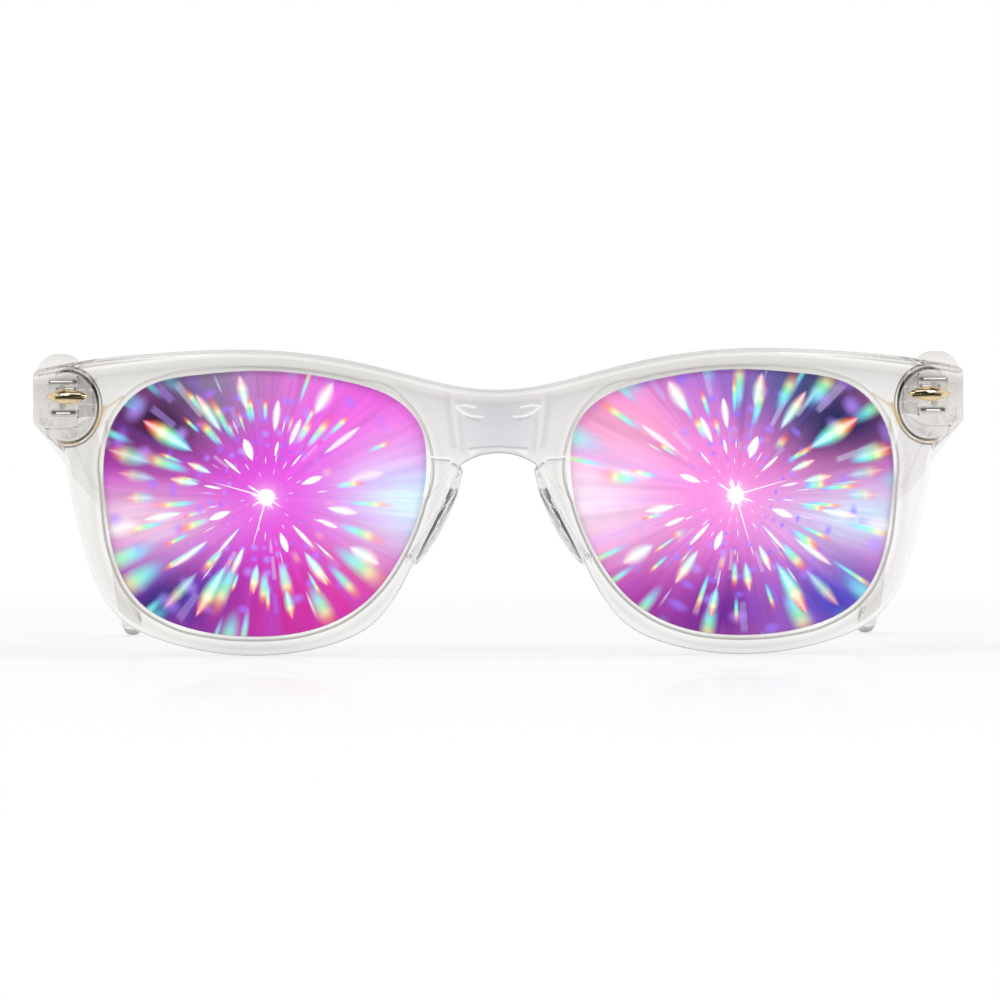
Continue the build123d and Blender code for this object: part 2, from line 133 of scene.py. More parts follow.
WHITE = (1.0, 1.0, 1.0)
BLACK = (0.0, 0.0, 0.0)
# Painted highlight: a level a little above white, for the painted highlight bands on the clear plastic
PAINTED_HIGHLIGHT = (1.1, 1.1, 1.1)
DARK = (0.10, 0.095, 0.09)
AMBER = (0.66, 0.48, 0.24)
STREAK_WHITE = (1.0, 0.98, 1.0)
STREAK_LAYERS = (
    Streaks(44.0, 2.4, 11.3, 0.24, 0.8, 0.95, 0.0, 0.18, 6.0, 40.0, 0.34, 0.0, ghost=(0.82, 0.80, 0.86)),
    Streaks(26.0, 5.0, 23.1, 0.62, 0.7, 0.9, 0.3, 1.0, 5.0, 40.0, 0.68, 0.0, ghost=(0.50, 0.30, 1.0)),
    Streaks(26.0, 1.3, 35.9, 0.72, 0.55, 1.0, 0.2, 0.6, 9.0, 40.0, 0.78, 1.6),
    Streaks(38.0, 1.9, 83.2, 0.48, 0.36, 1.0, 0.2, 0.5, 10.0, 40.0, 0.8, 1.4),
    Streaks(22.0, 2.4, 47.7, 0.34, 0.17, 0.7, 1.0, 0.5, 2.8, 8.0, 0.9, 0.0),
    Streaks(30.0, 2.0, 95.4, 0.22, 0.18, 0.9, 0.7, 0.5, 8.0, 17.0, 0.7, 0.6),
)
SPINDLES = tuple(Spindle(*sizes) for sizes in (
    (15.4, 9.6, 10.0, 2.9, 1.0, 0.45), (9.0, 13.1, 8.1, 1.6, 0.6), (3.6, 16.3, 6.2, 1.6, 0.45),
    (-1.6, 12.7, 5.4, 1.2), (-1.6, 7.5, 2.6, 0.6), (2.8, 7.4, 3.9, 1.8, 0.1, 0.4), (-4.5, 10.1, 5.0, 1.1),
    (-9.0, 15.3, 6.4, 2.0, 0.2), (-4.7, 5.7, 2.7, 0.4), (-11.8, 8.8, 7.7, 1.1, 0.0, 0.5, 0.8),
    (-7.1, 2.6, 3.7, 1.3, 0.0, 0.4), (-11.8, -2.1, 5.4, 1.4, 0.25), (-9.5, -4.1, 3.8, 0.89),
    (-15.2, -9.1, 6.2, 2.2, 0.3), (-5.6, -6.0, 5.2, 0.8), (-7.7, -11.1, 7.0, 1.6, 0.6),
    (-2.7, -7.0, 3.5, 1.4, 0.1, 0.4), (-3.5, -16.6, 5.6, 1.3, 1.0), (1.8, -12.7, 5.2, 1.3, 0.9),
    (4.5, -9.8, 5.0, 1.1, 0.5), (8.7, -14.5, 10.2, 2.4, 1.0, 0.45), (6.0, -6.8, 6.2, 0.6, 0.3),
    (7.3, -2.8, 3.8, 1.4, 0.1, 0.4), (12.0, -8.8, 8.1, 1.1, 0.35), (8.4, 1.6, 3.1, 0.49),
    (12.8, 2.5, 5.2, 1.3, 0.7), (10.5, 4.6, 4.5, 1.1, 0.6), (5.3, 4.8, 4.0, 0.6),
    (16.2, -2.9, 6.7, 1.3, 0.3, 0.5), (19.8, 0.0, 5.8, 1.5, 0.9, 0.7, 0.7),
    (21.4, 6.5, 8.7, 2.2, 1.0, 0.7, 0.8),
    (20.3, 3.4, 7.3, 1.5, 0.9, 0.7, 0.6), (22.5, -4.7, 6.7, 2.2, 0.0, 0.8, 0.9),
    (13.5, -14.5, 8.7, 1.5, 0.8, 0.6, 0.7), (-15.5, 3.2, 6.7, 1.4, 0.0, 0.8, 0.6),
))
SPECTRUM = (
    (0.0, (0.10, 0.30, 1.0)), (0.18, (0.12, 0.70, 1.0)), (0.38, (0.20, 1.0, 0.92)), (0.52, (0.35, 1.0, 0.50)),
    (0.62, (0.95, 1.0, 0.45)), (0.72, (1.0, 0.42, 0.10)), (0.84, (1.0, 0.09, 0.05)), (1.0, (0.70, 0.0, 0.20)),
)
STAR_RAYS = ((16.0, 9.6), (-74.0, 8.8))
BURST_FIELDS = (
    ("Top", (-2.0, 0.0, 19.0), (15.0, 1.0, 7.0), 0.9),
    ("Nose High", (-19.0, 0.0, 12.0), (10.0, 1.0, 8.0), 0.9),
    ("Low Nose", (-14.0, 0.0, -15.0), (12.0, 1.0, 8.5), 1.0),
    ("Low", (-3.0, 0.0, -19.5), (12.0, 1.0, 9.0), 1.0),
    ("Nose", (-24.0, 0.0, -1.0), (12.0, 1.0, 8.5), 1.0),
    ("Haze", (10.0, 0.0, 17.0), (10.0, 1.0, 8.0), 0.85),
    ("Low Temple", (15.0, 0.0, -15.5), (11.0, 1.0, 9.0), 1.0),
    ("Temple Shade", (18.0, 0.0, 12.0), (12.5, 1.0, 9.5), 1.0),
    ("Temple", (21.0, 0.0, -3.5), (13.0, 1.0, 5.0), 0.95),
)
BURST_TINTS = ("Glow", "Block") + tuple(field[0] for field in BURST_FIELDS)


class Output:
    """Output of a node. Arithmetic on numbers adds Math nodes to their graph."""

    def __init__(self, graph: "Graph", socket: bpy.types.NodeSocket) -> None:
        """Hold a socket and the graph that it is in."""
        self.graph, self.socket = graph, socket

    def __add__(self, other: object) -> "Output":
        """Sum of two numbers."""
        return self.graph.math("ADD", self, other)

    def __sub__(self, other: object) -> "Output":
        """This number less another."""
        return self.graph.math("SUBTRACT", self, other)

    def __rsub__(self, other: object) -> "Output":
        """Another number less this one."""
        return self.graph.math("SUBTRACT", other, self)

    def __mul__(self, other: object) -> "Output":
        """Product of two numbers."""
        return self.graph.math("MULTIPLY", self, other)

    def __truediv__(self, other: object) -> "Output":
        """This number over another."""
        return self.graph.math("DIVIDE", self, other)

    def __pow__(self, power: object) -> "Output":
        """This number to a power."""
        return self.graph.math("POWER", self, power)

    def __abs__(self) -> "Output":
        """This number without its sign."""
        return self.graph.math("ABSOLUTE", self)

    def clamped(self) -> "Output":
        """This number kept between 0 and 1."""
        return self.graph.math("MINIMUM", self.graph.math("MAXIMUM", self, 0.0), 1.0)

    def fading(self) -> "Output":
        """1 where this number is 0, and less the larger it is."""
        return self.graph.math("EXPONENT", self * -1.0)


class Graph:
    """Adds and links the nodes of one shader tree."""

    def __init__(self, tree: bpy.types.NodeTree) -> None:
        """Start on the node tree of a material, a world or a group."""
        self.tree = tree

    def add(self, kind: str, inputs: dict | None = None, **settings) -> bpy.types.Node:
        """Add a node.

        Args:
            kind: Blender's name of the node type.
            inputs: value or output for each input, by name or number.
            settings: properties of the node.

        Returns:
            The new node.
        """
        node = self.tree.nodes.new(kind)
        for name, value in settings.items():
            setattr(node, name, value)
        self.set(node, inputs or {})
        return node

    def set(self, node: bpy.types.Node, inputs: dict) -> None:
        """Link outputs into a node's inputs, or set their values.

        Args:
            node: the node.
            inputs: output, number or tuple of numbers for each input, by name or number.
        """
        for key, value in inputs.items():
            socket = node.inputs[key]
            if isinstance(value, Output):
                self.tree.links.new(value.socket, socket)
            elif socket.type == "RGBA" and len(value) == 3:
                socket.default_value = (*value, 1.0)
            else:
                socket.default_value = value

    def out(self, kind: str, output: str | int, inputs: dict | None = None, **settings) -> Output:
        """Add a node as add does, and take the output with a name or number."""
        return Output(self, self.add(kind, inputs, **settings).outputs[output])

    def outs(self, kind: str, inputs: dict | None = None, **settings) -> dict[str, Output]:
        """Add a node as add does, and take all its outputs by name."""
        return {socket.name: Output(self, socket) for socket in self.add(kind, inputs, **settings).outputs}

    def use(self, group: bpy.types.NodeTree, inputs: dict) -> dict[str, Output]:
        """Place a node group and take its outputs by name."""
        return self.outs("ShaderNodeGroup", inputs, node_tree=group)

    def give(self, outputs: dict[str, Output]) -> bpy.types.NodeTree:
        """Feed the outputs of the group that this graph is in, and give the group back."""
        self.add("NodeGroupOutput", outputs)
        return self.tree

    def math(self, operation: str, *values: object) -> Output:
        """Work out a number from numbers."""
        return self.out("ShaderNodeMath", 0, dict(enumerate(values)), operation=operation)

    def vector(self, operation: str, *values: object, output: str = "Vector") -> Output:
        """Work out a vector, or a number with "Value" as the output, from vectors."""
        return self.out("ShaderNodeVectorMath", output, dict(enumerate(values)), operation=operation)

    def length(self, vector: object) -> Output:
        """Length of a vector."""
        return self.vector("LENGTH", vector, output="Value")

    def dot(self, first: object, second: object) -> Output:
        """Dot product of two vectors."""
        return self.vector("DOT_PRODUCT", first, second, output="Value")

    def scaled(self, vector: object, factor: object) -> Output:
        """A vector or colour times a number."""
        return self.out("ShaderNodeVectorMath", "Vector", {0: vector, "Scale": factor}, operation="SCALE")

    def parts(self, vector: object) -> tuple[Output, ...]:
        """X, Y and Z of a vector."""
        return tuple(self.outs("ShaderNodeSeparateXYZ", {0: vector}).values())

    def joined(self, *numbers: object) -> Output:
        """Vector from its X, Y and Z."""
        return self.out("ShaderNodeCombineXYZ", 0, dict(enumerate(numbers)))

    def dice(self, *numbers: object) -> dict[str, Output]:
        """A random number and colour for every three numbers."""
        return self.outs("ShaderNodeTexWhiteNoise", {"Vector": self.joined(*numbers)}, noise_dimensions="3D")

    def between(self, factor: object, first: object, second: object) -> Output:
        """First number where the factor is 0, second where it is 1."""
        return self.out("ShaderNodeMix", 0, {0: factor, 2: first, 3: second}, data_type="FLOAT")

    def blend(self, factor: object, first: object, second: object, way: str = "MIX") -> Output:
        """First colour where the factor is 0, blended with the second where it is 1."""
        colors = {0: factor, 6: first, 7: second}
        return self.out("ShaderNodeMix", 2, colors, data_type="RGBA", blend_type=way)

    def step(self, value: object, low: object, high: object, start: float = 0.0, end: float = 1.0) -> Output:
        """Start level where the value is low or less, end level where it is high or more, smooth between."""
        inputs = {"Value": value, "From Min": low, "From Max": high, "To Min": start, "To Max": end}
        return self.out("ShaderNodeMapRange", "Result", inputs, interpolation_type="SMOOTHSTEP", clamp=False)

    def noise(self, place: object, scale: float, detail: float = 2.0, roughness: float = 0.5) -> Output:
        """Noise from 0 to 1 at a place. Detail is the number of finer layers, roughness their strength."""
        inputs = {"Vector": place, "Scale": scale, "Detail": detail, "Roughness": roughness}
        return self.out("ShaderNodeTexNoise", 0, inputs)

    def ramp(self, value: object, stops: tuple[tuple[float, Color], ...]) -> Output:
        """Turn a number into a colour.

        Args:
            value: number, 0 to 1.
            stops: position and colour of each stop, two at least.

        Returns:
            The colour.
        """
        node = self.add("ShaderNodeValToRGB", {"Fac": value})
        elements = node.color_ramp.elements
        while len(elements) < len(stops):
            elements.new(0.5)
        for element, (position, color) in zip(elements, stops):
            element.position, element.color = position, (*color, 1.0)
        return Output(self, node.outputs["Color"])

    def curve(self, value: object, points: tuple[tuple[float, float], ...]) -> Output:
        """Turn a number into another one along a smooth curve.

        Args:
            value: number, 0 to 1.
            points: points of the curve, from 0 to 1, two at least.

        Returns:
            The result.
        """
        node = self.add("ShaderNodeFloatCurve", {"Value": value})
        line = node.mapping.curves[0]
        while len(line.points) < len(points):
            line.points.new(0.5, 0.5)
        for point, location in zip(line.points, points):
            point.location = location
        node.mapping.update()
        return Output(self, node.outputs[0])

    def place_in_millimetres(self, centre: Place = (0.0, 0.0, 0.0), mirrored: bool = False) -> Output:
        """Object coordinates in millimetres from a centre.

        Args:
            centre: the centre in millimetres.
            mirrored: turn X round.

        Returns:
            The vector.
        """
        sign = -1.0 if mirrored else 1.0
        inputs = {
            "Vector": self.out("ShaderNodeTexCoord", "Object"),
            "Location": (-sign * centre[0], -centre[1], -centre[2]),
            "Scale": (sign / MILLIMETRE, 1 / MILLIMETRE, 1 / MILLIMETRE),
        }
        return self.out("ShaderNodeMapping", "Vector", inputs)

    def bump(self, height: Output) -> Output:
        """Normal of a surface with a height in millimetres."""
        return self.out("ShaderNodeBump", "Normal", {"Height": height, "Strength": 1.0, "Distance": MILLIMETRE})


def new_group(name: str, inputs: dict[str, str], outputs: dict[str, str]) -> tuple[Graph, dict[str, Output]]:
    """Make an empty shader node group.

    Args:
        name: name of the group.
        inputs: names of the input sockets of each type.
        outputs: names of the output sockets of each type.

    Returns:
        The group's graph and its inputs by name.
    """
    tree = bpy.data.node_groups.new(name, "ShaderNodeTree")
    for in_out, kinds in (("INPUT", inputs), ("OUTPUT", outputs)):
        for kind, names in kinds.items():
            for socket in names.split(", "):
                tree.interface.new_socket(name=socket, in_out=in_out, socket_type=f"NodeSocket{kind}")
    graph = Graph(tree)
    return graph, graph.outs("NodeGroupInput")


@dataclass(frozen=True)
class Polar:
    """A place in the plane of a lens, from the star. X runs from the nose to the temple, in millimetres."""

    graph: Graph
    given: dict[str, Output]
    flat: Output
    turn: Output
    radius: Output


class Groups:
    """Shader node groups that several finishes use, each built once."""

    def __init__(self) -> None:
        """Build all groups."""
        self.spot = self.soft_spot()
        self.wear = self.surface_wear()
        self.line = self.soft_line()
        self.spindle = self.large_streak()
        self.streaks = self.streak_layer()
        self.burst = self.light_burst()

    @staticmethod
    def soft_spot() -> bpy.types.NodeTree:
        """Mask that is 1 in the middle of a soft oval spot and fades to 0 round it."""
        graph, given = new_group("soft spot", {"Vector": "Place, Centre, Reach"}, {"Float": "Mask"})
        offset = graph.vector("SUBTRACT", given["Place"], given["Centre"])
        scaled = graph.vector("DIVIDE", offset, given["Reach"])
        return graph.give({"Mask": graph.dot(scaled, scaled).fading()})

    @staticmethod
    def soft_line() -> bpy.types.NodeTree:
        """Mask that is 1 on a straight line in the XZ plane and fades to 0 beside it."""
        inputs = {"Vector": "Place, Start, End", "Float": "Width"}
        graph, given = new_group("soft line", inputs, {"Float": "Mask"})
        offset = graph.vector("SUBTRACT", given["Place"], given["Start"])
        span = graph.vector("SUBTRACT", given["End"], given["Start"])
        foot = graph.scaled(span, (graph.dot(offset, span) / graph.dot(span, span)).clamped())
        distance = graph.vector("DISTANCE", offset, foot, output="Value") / given["Width"]
        return graph.give({"Mask": (distance ** 2.0).fading()})

    @staticmethod
    def large_streak() -> bpy.types.NodeTree:
        """One large streak: widest past its middle, pointed towards the star, and white inside its colours."""
        graph, given = new_group(
            "large streak",
            {"Vector": "Place, Aim", "Float": "Middle, Length, Width, Soft, Play"},
            {"Float": "Mask", "Color": "Color"},
        )
        soft = given["Soft"]
        along = graph.dot(given["Place"], given["Aim"])
        aside = graph.length(graph.vector("CROSS_PRODUCT", given["Place"], given["Aim"]))
        share = ((along - given["Middle"]) / given["Length"] + 0.5).clamped()
        swell = share ** 1.2 * (1.0 - share)
        distance = aside / graph.math("MAXIMUM", swell * 1.6 * given["Width"], 0.002)
        fall = graph.step(distance, 1.0 - soft, soft + 1.0, 1.0, 0.0)
        ends = graph.step(swell, 0.0, soft * 0.12)
        play = given["Play"] * graph.step(distance, 0.1, 0.9, 0.5, 1.0)
        color = graph.blend(play, STREAK_WHITE, graph.ramp(share, SPECTRUM))
        return graph.give({"Mask": fall * ends, "Color": color})

    @staticmethod
    def surface_wear() -> bpy.types.NodeTree:
        """Fine rub marks, faint haze and moulding waves of a handled surface."""
        inputs = {"Vector": "Place", "Float": "Gloss, Haze, Rubs, Waves"}
        graph, given = new_group("surface wear", inputs, {"Float": "Roughness, Height"})
        place = given["Place"]
        haze = graph.step(graph.noise(place, 0.16, 4.0, 0.6), 0.45, 0.75)
        scratches = []
        for turn, stretch in (((0.3, 0.9, 0.6), (0.35, 4.0, 4.0)), ((1.1, 0.2, 2.1), (0.3, 5.0, 5.0))):
            turned = {"Vector": place, "Rotation": turn, "Scale": stretch}
            drawn = graph.out("ShaderNodeMapping", "Vector", turned)
            scratches.append(graph.step(graph.noise(drawn, 1.0, 3.0, 0.7), 0.66, 0.72))
        rubs = graph.math("MAXIMUM", *scratches) * given["Rubs"]
        rough = haze * given["Haze"] + given["Gloss"] + rubs * 0.12
        height = graph.noise(place, 0.11, 1.0, 0.4) * given["Waves"] - rubs * 0.01
        return graph.give({"Roughness": rough.clamped(), "Height": height})

    @staticmethod
    def streak_layer() -> bpy.types.NodeTree:
        """One layer of radial streaks: random cells of a grid in angle and logarithm of radius."""
        graph, given = new_group(
            "streak layer",
            {"Float": "Turn, Radius, Count, Rate, Seed, Density, Width, Length, Point, Soft"},
            {"Float": "Mask, Along, Tone"},
        )
        seed, soft = given["Seed"], given["Soft"]
        sector = given["Turn"] * given["Count"]
        index, across = graph.math("FLOOR", sector), graph.math("FRACT", sector)
        shift = graph.dice(index, seed, 3.7)["Value"] * 9.0
        level = shift + graph.math("LOGARITHM", given["Radius"], math.e) * given["Rate"]
        row, along = graph.math("FLOOR", level), graph.math("FRACT", level)
        draw = graph.dice(index, row, seed)
        width_draw, aside_draw, length_draw = graph.parts(draw["Color"])
        present = graph.math("LESS_THAN", draw["Value"], given["Density"])
        off_axis = abs(across - 0.5 - (aside_draw - 0.5) * 0.4)
        length = given["Length"] * (length_draw * 0.5 + 0.5)
        end = abs(along - 0.5) / (length * 0.5)
        taper = (1.0 - end ** 1.4).clamped() ** given["Point"]
        width = graph.math("MAXIMUM", given["Width"] * (width_draw * 0.6 + 0.4) * taper, 0.001)
        side_fall = graph.step(off_axis / (width * 0.5), 1.0 - soft, soft + 1.0, 1.0, 0.0)
        end_fall = graph.step(end, 1.0 - soft, 1.0, 1.0, 0.0)
        place = ((along - 0.5) / length + 0.5).clamped()
        return graph.give({"Mask": side_fall * end_fall * present, "Along": place, "Tone": length_draw})

    def light_burst(self) -> bpy.types.NodeTree:
        """Radial burst of light as a diffraction film spreads it. X runs from the nose to the temple."""
        graph, given = new_group(
            "light burst",
            {"Vector": "Place", "Float": "Seed, Color Play", "Color": ", ".join(BURST_TINTS)},
            {"Color": "Color"},
        )
        flat = graph.vector("MULTIPLY", given["Place"], (1.0, 0.0, 1.0))
        across, _, rise = graph.parts(flat)
        radius = graph.math("MAXIMUM", graph.length(flat), 0.02)
        polar = Polar(graph, given, flat, graph.math("ARCTAN2", rise, across) / math.tau, radius)
        color = self.burst_fields(polar)
        shade = graph.use(self.spot, {"Place": flat, "Centre": (19.0, 0.0, 9.0), "Reach": (15.0, 1.0, 14.0)})
        vivid = (shade["Mask"] * 0.5 + 0.6) * given["Color Play"]
        for layer in STREAK_LAYERS:
            color = self.lay_streaks(polar, layer, vivid, color)
        for spindle in SPINDLES:
            color = self.lay_spindle(polar, spindle, color)
        return graph.give({"Color": self.star(polar, color)})

    def burst_fields(self, polar: Polar) -> Output:
        """Broad fields of colour behind the streaks, drawn out along the radius.

        Args:
            polar: place in the burst.

        Returns:
            The colour.
        """
        graph, given, flat, radius = polar.graph, polar.given, polar.flat, polar.radius
        drift = graph.joined(given["Seed"], radius * 0.003, given["Seed"])
        spoke = graph.vector("ADD", graph.vector("NORMALIZE", flat), drift)
        broad_rays = graph.noise(spoke, 2.6, 2.0, 0.6)
        middle_rays = graph.noise(spoke, 7.0, 2.0, 0.6)
        fine_rays = graph.noise(spoke, 19.0, 3.0, 0.6)
        spread = graph.scaled(flat, (broad_rays - 0.5) * 0.7 + 1.0)
        color = given["Glow"]
        for tint, centre, reach, share in BURST_FIELDS:
            spot = graph.use(self.spot, {"Place": spread, "Centre": centre, "Reach": reach})
            color = graph.blend(spot["Mask"] * share, color, given[tint])
        outside = graph.step(radius, 4.0, 13.0)
        color = graph.blend(graph.step(middle_rays, 0.5, 0.72) * outside * 0.18, color, given["Block"])
        color = graph.blend(graph.step(middle_rays, 0.5, 0.3) * outside * 0.16, color, (0.12, 0.0, 0.14))
        shaded = graph.scaled(color, graph.step(fine_rays, 0.3, 0.7, 0.94, 1.06))
        return graph.blend((radius.fading() * 1.3).clamped(), shaded, (1.0, 0.75, 0.98))

    def lay_streaks(self, polar: Polar, layer: Streaks, vivid: Output, color: Output) -> Output:
        """Lay one layer of streaks over the colour so far.

        Args:
            polar: place in the burst.
            layer: sizes of the layer.
            vivid: strength of the spectrum colours.
            color: colour under the streaks.

        Returns:
            The colour.
        """
        graph, radius = polar.graph, polar.radius
        blur = graph.step(radius, 4.0, 22.0, 0.6, 1.7) * layer.soft
        inputs = {
            "Turn": polar.turn, "Radius": radius, "Count": layer.count, "Rate": layer.rate,
            "Seed": polar.given["Seed"] + layer.seed, "Density": layer.density, "Width": layer.width,
            "Length": layer.length, "Point": layer.point, "Soft": blur.clamped(),
        }
        streaks = graph.use(self.streaks, inputs)
        past_nearest = graph.step(radius, layer.nearest, layer.nearest * 1.3)
        in_farthest = graph.step(radius, layer.farthest, layer.farthest * 1.3, 1.0, 0.0)
        factor = streaks["Mask"] * past_nearest * in_farthest * layer.strength
        if layer.ghost:
            tone = graph.blend(streaks["Tone"], polar.given["Block"], layer.ghost)
            from_nose = graph.step(abs(polar.turn), 0.34, 0.45, 1.0, 0.12)
            return graph.blend(factor * from_nose, color, tone)
        amount = graph.step(radius, 5.0, 17.0, 0.2, 1.0) * vivid * layer.spectrum
        tone = graph.blend(amount.clamped(), STREAK_WHITE, graph.ramp(streaks["Along"], SPECTRUM))
        return graph.blend(factor, color, tone)

    def lay_spindle(self, polar: Polar, spindle: Spindle, color: Output) -> Output:
        """Lay one large streak over the colour so far. It is softer the farther out it lies.

        Args:
            polar: place in the burst.
            spindle: sizes of the streak.
            color: colour under it.

        Returns:
            The colour.
        """
        middle = math.hypot(spindle.x, spindle.z)
        inputs = {
            "Place": polar.flat, "Aim": (spindle.x / middle, 0.0, spindle.z / middle), "Middle": middle,
            "Length": spindle.length, "Width": spindle.width, "Soft": spindle.soft * (0.5 + middle / 12.0),
            "Play": spindle.play,
        }
        streak = polar.graph.use(self.spindle, inputs)
        return polar.graph.blend(streak["Mask"] * spindle.strength, color, streak["Color"])

    def star(self, polar: Polar, color: Output) -> Output:
        """White star in the middle of the burst, with short spikes and a few long fine rays.

        Args:
            polar: place in the burst.
            color: colour under the star.

        Returns:
            The colour.
        """
        graph, radius = polar.graph, polar.radius
        inputs = {
            "Turn": polar.turn, "Radius": 1.0, "Count": 26.0, "Rate": 0.0, "Seed": polar.given["Seed"] + 71.0,
            "Density": 2.0, "Width": 1.0, "Length": 40.0, "Point": 0.0, "Soft": 0.9,
        }
        spikes = graph.use(self.streaks, inputs)
        room = (1.0 - radius / (spikes["Tone"] ** 3.0 * 2.6 + 1.5)).clamped()
        white = graph.step(spikes["Mask"] * room ** 0.6, 0.25, 0.6)
        white = graph.math("MAXIMUM", white, graph.step(radius, 1.0, 1.5, 1.0, 0.0))
        for angle, length in STAR_RAYS:
            cosine, sine = math.cos(math.radians(angle)), math.sin(math.radians(angle))
            along = graph.dot(polar.flat, (cosine, 0.0, sine))
            aside = graph.dot(polar.flat, (-sine, 0.0, cosine))
            room = (1.0 - along / length).clamped()
            ray = graph.step(abs(aside) / (room * 0.16 + 0.02), 0.5, 1.0, 1.0, 0.0)
            ray = ray * graph.math("GREATER_THAN", along, 0.0) * graph.step(room, 0.0, 0.3)
            white = graph.math("MAXIMUM", white, ray * 0.9)
        return graph.blend(white, color, WHITE)


def new_material(name: str) -> tuple[bpy.types.Material, Graph, bpy.types.Node]:
    """Make a material with a Principled shader.

    Args:
        name: name of the material.

    Returns:
        The material, its graph and its Principled node.
    """
    material = bpy.data.materials.new(name)
    material.use_nodes = True
    graph = Graph(material.node_tree)
    return material, graph, material.node_tree.nodes["Principled BSDF"]


@dataclass(frozen=True)
class Wear:
    """How glossy, hazy, rubbed and wavy a surface is."""

    gloss: float
    haze: float
    rubs: float
    waves: float

    def add(self, graph: Graph, groups: Groups, place: Output) -> dict[str, Output]:
        """Roughness and height of the surface at a place in millimetres."""
        sizes = {"Gloss": self.gloss, "Haze": self.haze, "Rubs": self.rubs, "Waves": self.waves}
        return graph.use(groups.wear, {"Place": place} | sizes)


@dataclass(frozen=True)
class TintSpot:
    """Soft oval region of painted light and shade on clear plastic, in millimetres."""

    centre: Place
    reach: Place
    tint: Color
    share: float = 1.0


@dataclass(frozen=True)
class ClearPlastic:
    """Clear moulded plastic with faint tints, spots of painted light and shade, moulding waves and rub marks.
    """

    name: str
    tint: Color
    warm_tint: Color
    warm_share: float
    refraction: float
    wear: Wear
    spots: tuple[TintSpot, ...] = ()
    lost_light: Color = (0.50, 0.49, 0.48)
    mirrored_limit: float = 3.5
    path_limit: float = 10.5

    def make(self, groups: Groups) -> bpy.types.Material:
        """Build the material.

        Args:
            groups: shared node groups.

        Returns:
            The material.
        """
        material, graph, shader = new_material(self.name)
        material.cycles.emission_sampling = "NONE"
        place = graph.place_in_millimetres()
        wear = self.wear.add(graph, groups, place)
        drift = graph.step(graph.noise(place, 0.05, 2.0, 0.5), 0.4, 0.65)
        color = graph.blend(drift * self.warm_share, self.tint, self.warm_tint)
        # Painted light and shade in soft spots
        for spot in self.spots:
            mask = graph.use(groups.spot, {"Place": place, "Centre": spot.centre, "Reach": spot.reach})["Mask"]
            color = graph.blend(mask * spot.share, color, spot.tint)
        color = self.mouldings(graph, groups, place, color)
        # Rays that have turned inside the plastic more often than the render follows get a pale painted glow,
        # standing in for the light they would still bring
        path = graph.outs("ShaderNodeLightPath")
        mirrored_out = graph.math("GREATER_THAN", path["Glossy Depth"], self.mirrored_limit)
        too_long = graph.math("GREATER_THAN", path["Ray Depth"], self.path_limit)
        lost = graph.math("MAXIMUM", mirrored_out, too_long)
        graph.set(shader, {
            "Base Color": graph.blend(lost, color, BLACK),
            "Emission Color": graph.blend(lost, BLACK, self.lost_light),
            "Emission Strength": 1.0,
            "Roughness": wear["Roughness"],
            "Transmission Weight": 1.0,
            "IOR": self.refraction,
            "Normal": graph.bump(wear["Height"]),
        })
        return material

    def mouldings(self, graph: Graph, groups: Groups, place: Output, color: Output) -> Output:
        """Colour with painted shade and highlights along moulded edges laid over it. Plain plastic has none."""
        return color


def draw_lines(graph: Graph, groups: Groups, place: Output, color: Output, lines: tuple[Line, ...]) -> Output:
    """Lay soft lines over a colour, the same on both halves.

    Args:
        graph: the material's graph.
        groups: shared node groups.
        place: object coordinates in millimetres.
        color: colour under the lines.
        lines: the lines.

    Returns:
        The colour.
    """
    folded = graph.vector("MULTIPLY", graph.vector("ABSOLUTE", place), (1.0, 0.0, 1.0))
    for line in lines:
        start, end = ((x, 0.0, z) for x, z in (line.start, line.end))
        inputs = {"Place": folded, "Start": start, "End": end, "Width": line.width}
        color = graph.blend(graph.use(groups.line, inputs)["Mask"] * line.share, color, line.tint)
    return color


@dataclass(frozen=True)
class FrontPlastic(ClearPlastic):
    """Plastic of the front, with painted shade and highlight bands along its top and its lens openings, and
    painted lines on its bridge.
    """

    lens_middle: tuple[float, float] = (37.0, 24.0)
    block_middle: tuple[float, float] = (67.4, 39.0)
    block_reach: tuple[float, float] = (5.0, 5.8)

    def mouldings(self, graph: Graph, groups: Groups, place: Output, color: Output) -> Output:
        """Colour with the painted shade and highlight bands, the painted lines and the painted rings of the
        rounded end block laid over it.

        Args:
            graph: the material's graph.
            groups: shared node groups.
            place: object coordinates in millimetres.
            color: colour of the plain plastic.

        Returns:
            The colour.
        """
        across, _, height = graph.parts(place)
        aside = abs(across)
        top = graph.curve(aside / 70.0, TOP_LINE) * 50.0
        color = self.band(graph, 1.0, color, ((top - height) / 6.0).clamped(), TOP_SHADING_BANDS)
        over, rise = aside - self.lens_middle[0], height - self.lens_middle[1]
        turn = graph.math("ARCTAN2", rise, over) * (1.0 / math.tau) + 0.5
        radius = graph.math("SQRT", over * over + rise * rise)
        gap = ((radius - graph.curve(turn, LENS_LINE) * 40.0 + 1.0) / 6.0).clamped()
        color = self.band(graph, graph.step(rise, 2.0, 14.0, 1.0, 0.35), color, gap, RIM_SHADING_BANDS)
        sideways = aside - self.block_middle[0]
        over, up = sideways / self.block_reach[0], (height - self.block_middle[1]) / self.block_reach[1]
        ring = ((graph.math("SQRT", over * over + up * up) - 0.7) * 2.0).clamped()
        color = self.band(graph, graph.step(sideways, 0.0, 2.5, 1.0, 0.0), color, ring, BLOCK_SHADING_BANDS)
        return draw_lines(graph, groups, place, color, FRONT_SHADING_LINES)

    @staticmethod
    def band(graph: Graph, share: object, color: Output, place: Output, bands: tuple) -> Output:
        """Lay painted shade and highlights on a colour in bands along a place from 0 to 1, as strongly as the
        share says.
        """
        return graph.blend(share, color, graph.ramp(place, bands), way="MULTIPLY")


